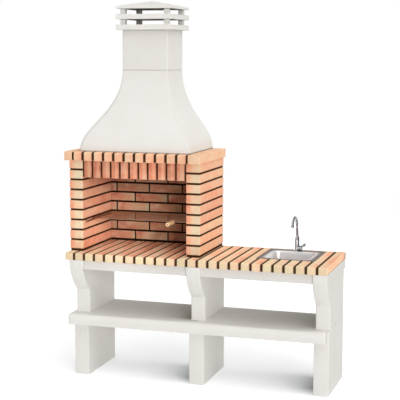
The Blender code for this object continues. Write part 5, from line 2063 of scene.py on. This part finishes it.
@dataclass
class Tap:
    """Swan-neck tap with a side lever."""

    shank: float = 0.011
    flange: float = 0.024
    foot: float = 0.006
    waist: float = 0.0170
    pillar: float = 0.0145
    groove: float = 0.0135
    shoulder: float = 0.013
    nut: float = 0.020
    nut_bore: float = 0.0113
    barrel: float = 0.015
    barrel_height: float = 0.021
    barrel_reach: float = 0.024
    spout_radius: float = 0.0075
    bend_radius: float = 0.075
    bend_degrees: float = 162.0
    rise: float = 0.063
    lean_in: float = 0.012
    collar: float = 0.016
    collar_foot: float = 0.013
    collar_neck: float = 0.0098
    aerator: float = 0.016
    aerator_radius: float = 0.0105
    lean_degrees: float = 48.0
    lever_length: float = 0.036
    lever_width: float = 0.016
    lever_thickness: float = 0.006
    lever_taper: float = 0.3
    lever_swell: float = 3.2
    lever_stages: int = 14

    def build(self) -> None:
        """Make the five pieces of the tap."""
        low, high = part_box("tap_back_nut")
        self.x, self.y = ((low + high) / 2).xy
        self.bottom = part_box("sink_bowl")[1].z + SEAT
        self.body()
        self.spout()
        self.cartridge()
        self.lever()

    def body(self) -> None:
        """Pillar with its foot, shank and side barrel, and the nut under the ledge."""
        low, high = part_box("tap_body")
        x, bottom, top = self.x, self.bottom, high.z
        shank, flange, pillar, groove = self.shank, self.flange, self.pillar, self.groove
        profile = [
            (shank, low.z, 0.0005), (shank, bottom, 0.0), (flange, bottom, 0.0006),
            (flange, bottom + 0.0035, 0.0015), (self.waist, bottom + self.foot, 0.0015),
            (pillar, bottom + 0.010, 0.003), (pillar, top - 0.010, 0.0015), (groove, top - 0.0092, 0.0005),
            (groove, top - 0.0072, 0.0005), (pillar, top - 0.0064, 0.0005), (pillar, top - 0.003, 0.0015),
            (self.shoulder, top, 0.0008),
        ]
        shell = Shell().add(lathe(profile, Axis.Z, (x, self.y)))
        end = x + self.barrel_reach
        profile = [
            (0.0148, x, 0.0), (0.0148, x + 0.018, 0.0005), (0.0138, x + 0.0188, 0.0003),
            (0.0138, x + 0.0205, 0.0003), (self.barrel, x + 0.0212, 0.0005), (self.barrel, end, 0.0008),
            (0.010, end, 0.0),
        ]
        shell.add(lathe(profile, Axis.X, (self.y, bottom + self.barrel_height)))
        fit(shell.make("tap_pillar"), Body.MASONRY, CHROME, "tap_body")
        low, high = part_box("tap_back_nut")
        bore, nut = self.nut_bore, self.nut
        profile = [(bore, low.z, 0.0), (nut, low.z, 0.0008), (nut, high.z, 0.0008), (bore, high.z, 0.0)]
        patch = lathe(profile, Axis.Z, (x, self.y), 48, True)
        fit(Shell().add(patch).make("tap_shank_nut"), Body.MASONRY, CHROME, "tap_back_nut")

    def neck(self, bottom: float) -> list[Vector]:
        """The spout's middle line.

        Args:
            bottom: The spout's lowest place.

        Returns:
            Points up the rise and round the bend.
        """
        x, y, foot = self.x, self.y, bottom + self.collar
        path = [Vector((x, y, bottom + self.collar / 2))]
        for k in range(20):
            share = k / 20
            path.append(Vector((x, y - self.lean_in * smooth(share), foot + self.rise * share)))
        for k in range(49):
            turn = math.radians(self.bend_degrees) * k / 48
            over = y - self.bend_radius * (1 - math.cos(turn)) - self.lean_in * math.cos(turn / 2)
            path.append(Vector((x, over, foot + self.rise + self.bend_radius * math.sin(turn))))
        return path

    def spout(self) -> None:
        """Collar, bent pipe and aerator."""
        low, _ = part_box("tap_spout")
        foot, neck = self.collar_foot, self.collar_neck
        top = low.z + self.collar
        profile = [
            (0.008, low.z, 0.0), (foot, low.z, 0.0006), (foot, low.z + 0.010, 0.0012),
            (neck, low.z + 0.0135, 0.0015), (neck, top, 0.0012), (0.006, top, 0.0),
        ]
        shell = Shell().add(lathe(profile, Axis.Z, (self.x, self.y)))
        path = self.neck(low.z)
        shell.add(tube(path, self.spout_radius, 32))
        bend = math.radians(self.bend_degrees)
        heading = Vector((0, -math.sin(bend), math.cos(bend)))
        start = path[-1] - heading * self.spout_radius
        reach, radius = self.aerator, self.aerator_radius
        stages = (
            (0.0, 0.0085), (0.0008, radius), (0.008, radius), (0.0088, 0.0098), (0.0096, radius),
            (reach - 0.0008, radius), (reach, 0.0095),
        )
        across = Vector((1, 0, 0))
        side = heading.cross(across)
        rings = [circle(start + heading * along, across, side, wide, 32) for along, wide in stages]
        shell.add(rings_patch(rings, False))
        fit(shell.make("tap_swan_neck"), Body.SPOUT, CHROME, "tap_spout")

    def cartridge(self) -> None:
        """Cap on the barrel's end, notched for the lever."""
        low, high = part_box("tap_cartridge_cap")
        z = self.bottom + self.barrel_height
        radius = (high.y - low.y) / 2
        profile = [
            (radius - 0.002, low.x, 0.0), (radius, low.x, 0.0012), (radius, high.x, 0.0025),
            (0.004, high.x, 0.0),
        ]
        thing = Shell().add(lathe(profile, Axis.X, (self.y, z))).make("tap_cap")
        start = (low.x + high.x) / 2 - self.lever_thickness / 2 - SEAT
        half = self.lever_width / 2 + SEAT
        notch = blocks(
            [start, high.x + 0.01], [self.y - half, self.y + half], [z + radius / 2, z + radius + 0.01],
            lambda *spot: True,
        )
        tool = Shell().add(notch).make("notch_tool")
        modifier = thing.modifiers.new("notch", "BOOLEAN")
        modifier.object = tool
        modifier.operation = "DIFFERENCE"
        modifier.solver = "EXACT"
        view = bpy.context.evaluated_depsgraph_get()
        cut = bpy.data.meshes.new_from_object(thing.evaluated_get(view))
        thing.modifiers.clear()
        thing.data = cut
        cut.set_sharp_from_angle(angle=math.radians(35))
        bpy.data.objects.remove(tool)
        fit(thing, Body.MIXER, CHROME, "tap_cartridge_cap")

    def lever(self) -> None:
        """A broad paddle that leans outwards and narrows to its tip."""
        cap_low, cap_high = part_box("tap_cartridge_cap")
        low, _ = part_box("tap_lever")
        lean = math.radians(self.lean_degrees)
        along = Vector((math.sin(lean), 0, math.cos(lean)))
        across = Vector((math.cos(lean), 0, -math.sin(lean)))
        wide = Vector((0, 1, 0))
        middle = Vector(((cap_low.x + cap_high.x) / 2, self.y, low.z))
        root = middle + across * self.lever_thickness / 2
        rings = []
        for k in range(self.lever_stages + 1):
            share = k / self.lever_stages
            taper = 1 - self.lever_taper * share
            end = math.sqrt(max(0.0, 1 - max(0.0, (share - 0.86) / 0.145) ** 2))
            half_width = self.lever_width / 2 * taper * (0.35 + 0.65 * end)
            belly = math.sin(math.pi * min(1.0, max(0.0, share - 0.22) / 0.78)) ** 1.2
            swell = 1 + self.lever_swell * belly
            half_thick = self.lever_thickness / 2 * taper * (0.30 + 0.70 * end) * swell
            spot = root + along * (self.lever_length * share)
            ring = []
            for j in range(32):
                turn = 2 * math.pi * j / 32
                u, v = math.cos(turn), math.sin(turn)
                bulge = (abs(u) ** 4 + abs(v) ** 4) ** -0.25
                point = spot + wide * (u * bulge * half_width) + across * (v * bulge * half_thick)
                if k == 0:
                    point.z = low.z
                ring.append(point[:])
            rings.append(np.array(ring))
        # Painted dark reflection over the lever.
        shell = Shell().add(rings_patch(rings, False), dull=0.55)
        fit(shell.make("tap_paddle"), Body.LEVER, CHROME, "tap_lever")


# Grill

# A groove in the handle: each corner's distance from the end, its depth and its rounding.
GROOVE = ((0.0175, 0.0005, 0.0004), (0.0185, 0.0016, 0.0003), (0.0195, 0.0005, 0.0004))


@dataclass
class Grill:
    """Wire grate on two rails, with a wooden handle."""

    setback: float = 0.143
    frame_width: float = 0.008
    frame_height: float = 0.006
    frame_radius: float = 0.0022
    wire: float = 0.0005
    pitch: float = 0.0150
    rod: float = 0.0016
    rods: int = 3
    tang: float = 0.006
    handle_radius: float = 0.0145
    bore: float = 0.0046
    rail_radius: float = 0.006
    rail_setback: float = 0.048
    rail_to_wall: float = 0.035
    standoff: float = 0.010
    bend_radius: float = 0.009
    washer: Flat = (0.0125, 0.0115)
    washer_gaps: Flat = (0.0004, 0.0030)

    def build(self) -> None:
        """Make the grate, the handle and the rails."""
        low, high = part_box("grill_handle")
        self.handle_x, self.z = (low.x + high.x) / 2, (low.z + high.z) / 2
        self.grate()
        self.handle(low, high)
        for side in Side:
            self.rail(side)

    def grate(self) -> None:
        """Flat frame, crimped wires both ways, three stiffening rods and the tang."""
        low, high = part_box("grill_grate")
        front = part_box("firebox_column_left")[0].y + self.setback
        wide, half = self.frame_width, self.frame_height / 2
        shell = Shell()
        section = Section.box((0.0, self.z - half), (wide, self.z + half), self.frame_radius, 0.01, 4)
        for start in (low.x, high.x - wide):
            shell.add(bar(section.shifted(start), Axis.Y, front, high.y, 0.2, 0.002))
        for start in (front, high.y - wide):
            shell.add(bar(section.shifted(start), Axis.X, low.x, high.x, 0.2, 0.002))
        inner_low = Vector((low.x + wide / 2, front + wide / 2))
        inner_high = Vector((high.x - wide / 2, high.y - wide / 2))
        pitch = self.wires(shell, inner_low, inner_high)
        for k in range(1, self.rods + 1):
            y = inner_low.y + (inner_high.y - inner_low.y) * k / (self.rods + 1) + pitch / 2
            path = [Vector((x, y, self.z - half + self.rod)) for x in (inner_low.x, inner_high.x)]
            shell.add(tube(path, self.rod, 12))
        x, half = self.handle_x, self.tang / 2
        section = Section.box((x - half, self.z - half), (x + half, self.z + half), 0.0012, 0.01, 3)
        shell.add(bar(section, Axis.Y, low.y, front + wide / 2, 0.2, 0.001))
        fit(shell.make("grate_wires", 60), Body.GRILL, WIRE_STEEL, "grill_grate")

    def wires(self, shell: Shell, low: Vector, high: Vector) -> float:
        """Weave wires over and under each other.

        Args:
            shell: The mesh that takes them.
            low: The weave's lowest corner.
            high: Its highest.

        Returns:
            The pitch from front to back.
        """
        counts = [round((b - a) / self.pitch) for a, b in zip(low, high)]
        pitches = [(b - a) / count for a, b, count in zip(low, high, counts)]
        for own, other, lift in ((0, 1, self.wire * 0.95), (1, 0, -self.wire * 0.95)):
            for i in range(1, counts[own]):
                path = []
                for j in range(2 * counts[other] + 1):
                    spot = Vector((0.0, 0.0, self.z + lift * self.wave(j, i)))
                    spot[own] = low[own] + i * pitches[own]
                    spot[other] = low[other] + j * pitches[other] / 2
                    path.append(spot)
                shell.add(tube(path, self.wire, 6))
        return pitches[1]

    @staticmethod
    def wave(along: int, row: int) -> float:
        """Over and under at the crossings, level between them."""
        over = 1.0 if (along // 2 + row) % 2 else -1.0
        return 0.0 if along % 2 else over

    def handle(self, low: Vector, high: Vector) -> None:
        """Turned grip with two grooves and a bore for the tang.

        Args:
            low: Its lowest corner.
            high: Its highest.
        """
        radius, bore = self.handle_radius, self.bore
        middle = low.y + (high.y - low.y) * 0.5
        profile = [(bore, high.y, 0.0), (0.0115, high.y, 0.003), (radius, high.y - 0.008, 0.003)]
        profile += [(radius - deep, high.y - along, bend) for along, deep, bend in GROOVE]
        profile += [(radius - 0.0012, middle, 0.02)]
        profile += [(radius - deep, low.y + along, bend) for along, deep, bend in GROOVE[::-1]]
        profile += [(radius, low.y + 0.006, 0.003), (0.0125, low.y, 0.002), (bore, low.y, 0.0008)]
        patch = lathe(profile, Axis.Y, (self.handle_x, self.z), 48, True, 4)
        fit(Shell().add(patch).make("handle_turned"), Body.GRILL, WOOD, "grill_handle")

    def rail(self, side: Side) -> None:
        """A round bar bent into the wall at both ends, with a washer at each.

        Args:
            side: Which of the two rails.
        """
        node = f"grill_rail_{side.word}"
        low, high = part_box(node)
        column_low, column_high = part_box(f"firebox_column_{side.word}")
        into = side.value
        wall, end = (column_high.x, low.x) if side is Side.LEFT else (column_low.x, high.x)
        front = column_low.y + self.rail_setback
        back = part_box("firebox_back_wall")[0].y - self.rail_to_wall
        z = (low.z + high.z) / 2
        line = wall - into * self.standoff
        bends = []
        for k in range(9):
            y, x = (self.bend_radius * part for part in turned(k / 8))
            bends.append((line + into * x, y))
        path = [Vector((end, front, z))] + [Vector((x, front + y, z)) for x, y in bends]
        path += [Vector((x, back - y, z)) for x, y in bends[::-1]] + [Vector((end, back, z))]
        shell = Shell().add(tube(path, self.rail_radius, 24))
        hole = self.rail_radius + 0.0002
        outer, face = self.washer
        far, near = (wall - into * gap for gap in self.washer_gaps)
        profile = [(hole, far, 0.0), (outer, far, 0.0003), (face, near, 0.0008), (hole, near, 0.0)]
        for y in (front, back):
            shell.add(lathe(profile, Axis.X, (y, z), 32, True, 3))
        fit(shell.make(f"rail_bar_{side.word}"), Body.MASONRY, WIRE_STEEL, node)


# Studio


@dataclass(frozen=True)
class Lamp:
    """A lamp: its kind, place, aim and power, and its own values. A sun's place only sets its way."""

    name: str
    kind: str
    place: Corner
    aim: Corner
    power: float
    values: dict[str, float]

    def hang(self) -> None:
        """Put the lamp in the scene."""
        light = bpy.data.lights.new(self.name, self.kind)
        light.energy = self.power
        for key, value in self.values.items():
            setattr(light, key, value)
        lamp = bpy.data.objects.new(self.name, light)
        lamp.location = self.place
        lamp.rotation_euler = (Vector(self.aim) - Vector(self.place)).to_track_quat("-Z", "Y").to_euler()
        bpy.context.collection.objects.link(lamp)


ORIGIN = (0.0, 0.0, 0.0)
SKY_LAMP = Lamp("above", "SUN", (0.25, -0.25, 0.93), ORIGIN, 1.42, {"angle": math.radians(70.0)})
RIGHT_LAMP = Lamp("right", "SUN", (0.62, -0.77, 0.10), ORIGIN, 1.23, {"angle": math.radians(32.0)})
MOUTH_LAMP = Lamp(
    "mouth", "SPOT", (1.10, -2.70, 1.95), (-0.58, 0.0, 1.0), 245.0,
    {"spot_size": math.radians(12.0), "spot_blend": 0.7, "shadow_soft_size": 0.15},
)


@dataclass
class Studio:
    """White floor and backdrop, two soft lamps, one into the fire's mouth, and the camera."""

    camera_place: Corner = (2.23705, -7.1371, 2.1757)
    camera_yaw: float = 17.701
    camera_tilt: float = 82.631
    camera_roll: float = 0.150
    lens: float = 101.05
    clip_end: float = 100.0
    ambient: float = 0.40
    floor_glow: float = 0.31
    glow_colour: Light = (0.87, 0.93, 1.0, 1.0)
    floor_size: float = 14.0
    fine_floor: float = 1.6
    floor_step: float = 0.025
    contact: float = 0.90
    contact_reach: float = 0.13
    warm: Light = (1.0, 0.975, 0.925, 1.0)
    white: Light = (1.0, 1.0, 1.0, 1.0)

    def build(self) -> None:
        """Set the floor, the light and the camera."""
        self.floor()
        self.world()
        for lamp in (SKY_LAMP, RIGHT_LAMP, MOUTH_LAMP):
            lamp.hang()
        lens = bpy.data.cameras.new("camera")
        lens.lens = self.lens
        lens.clip_end = self.clip_end
        turn = Matrix.Rotation(math.radians(self.camera_yaw), 3, "Z")
        turn @= Matrix.Rotation(math.radians(self.camera_tilt), 3, "X")
        turn @= Matrix.Rotation(math.radians(self.camera_roll), 3, "Z")
        camera = bpy.data.objects.new("camera", lens)
        camera.location = self.camera_place
        camera.rotation_euler = turn.to_euler()
        bpy.context.collection.objects.link(camera)
        bpy.context.scene.camera = camera
        bpy.context.scene.view_settings.view_transform = "Standard"
        LOG.info("studio set")

    @staticmethod
    def seen(graph: Graph) -> Socket:
        """Tell the rays that show the background from the others.

        Args:
            graph: The nodes that ask.

        Returns:
            1 for rays from the camera, from a gloss or through glass, and 0 for the others.
        """
        path = graph.node("LightPath")
        either = graph.math("MAXIMUM", path.outputs["Is Camera Ray"], path.outputs["Is Glossy Ray"])
        return graph.math("MAXIMUM", either, path.outputs["Is Transmission Ray"])

    def floor(self) -> None:
        """A matt white floor that shows as white where it is lit."""
        half, fine = self.floor_size / 2, self.fine_floor
        line = np.concatenate([[-half], np.arange(-fine, fine, self.floor_step), [half]])
        count = len(line)
        xs, ys = np.meshgrid(line, line)
        points = np.column_stack([xs.ravel(), ys.ravel(), np.zeros(count * count)])
        starts = [i for i in range(count * (count - 1)) if i % count < count - 1]
        patch = Patch.bare(points, [(i, i + 1, i + 1 + count, i + count) for i in starts])
        thing = Shell().add(patch, contact=self.shadow(points)).make("floor")
        material = bpy.data.materials.new("studio_floor")
        material.use_nodes = True
        graph = Graph(material.node_tree)
        material.node_tree.nodes.remove(material.node_tree.nodes["Principled BSDF"])
        bare = graph.math("SUBTRACT", 1.0, graph.read("contact"))
        matt = graph.node("BsdfDiffuse", {"Color": graph.grey(bare)})
        strength = graph.math("MULTIPLY", self.seen(graph), graph.math("MULTIPLY", bare, self.floor_glow))
        glow = graph.node("Emission", {"Color": self.glow_colour, "Strength": strength})
        both = graph.node("AddShader", {0: matt, 1: glow})
        graph.feed(material.node_tree.nodes["Material Output"].inputs["Surface"], both)
        thing.data.materials.append(material)

    def shadow(self, points: Array) -> Array:
        """The tight shadow on the left of the middle and right legs.

        Args:
            points: The floor's points.

        Returns:
            The shadow's depth at each point.
        """
        x, y, _ = points.T
        total = np.zeros(len(points))
        for place in ("middle", "right"):
            low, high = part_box(f"lower_leg_{place}")
            away = low.x - x
            deep = self.contact * np.exp(-np.maximum(away, 0.0) / self.contact_reach)
            along = unit((y - low.y) / 0.16) * unit((high.y + 0.04 - y) / 0.12)
            total += np.where(away > -0.06, deep, 0.0) * along
        return total

    def world(self) -> None:
        """White where it is seen, softer as light."""
        world = bpy.data.worlds.new("studio")
        world.use_nodes = True
        bpy.context.scene.world = world
        graph = Graph(world.node_tree)
        seen = self.seen(graph)
        strength = graph.math("MULTIPLY_ADD", seen, 1.0 - self.ambient, self.ambient)
        background = world.node_tree.nodes["Background"]
        graph.feed(background.inputs["Color"], graph.mix(seen, self.warm, self.white))
        graph.feed(background.inputs["Strength"], strength)


def main() -> None:
    """Build every sub-assembly in order, then the studio."""
    logging.basicConfig(level=logging.INFO, format="%(name)s: %(message)s")
    for assembly in (Supports(), Worktop(), Firebox(), Crown(), Chimney(), Sink(), Tap(), Grill()):
        LOG.info("%s", type(assembly).__name__)
        assembly.build()
    Studio().build()


if __name__ == "__main__":
    main()
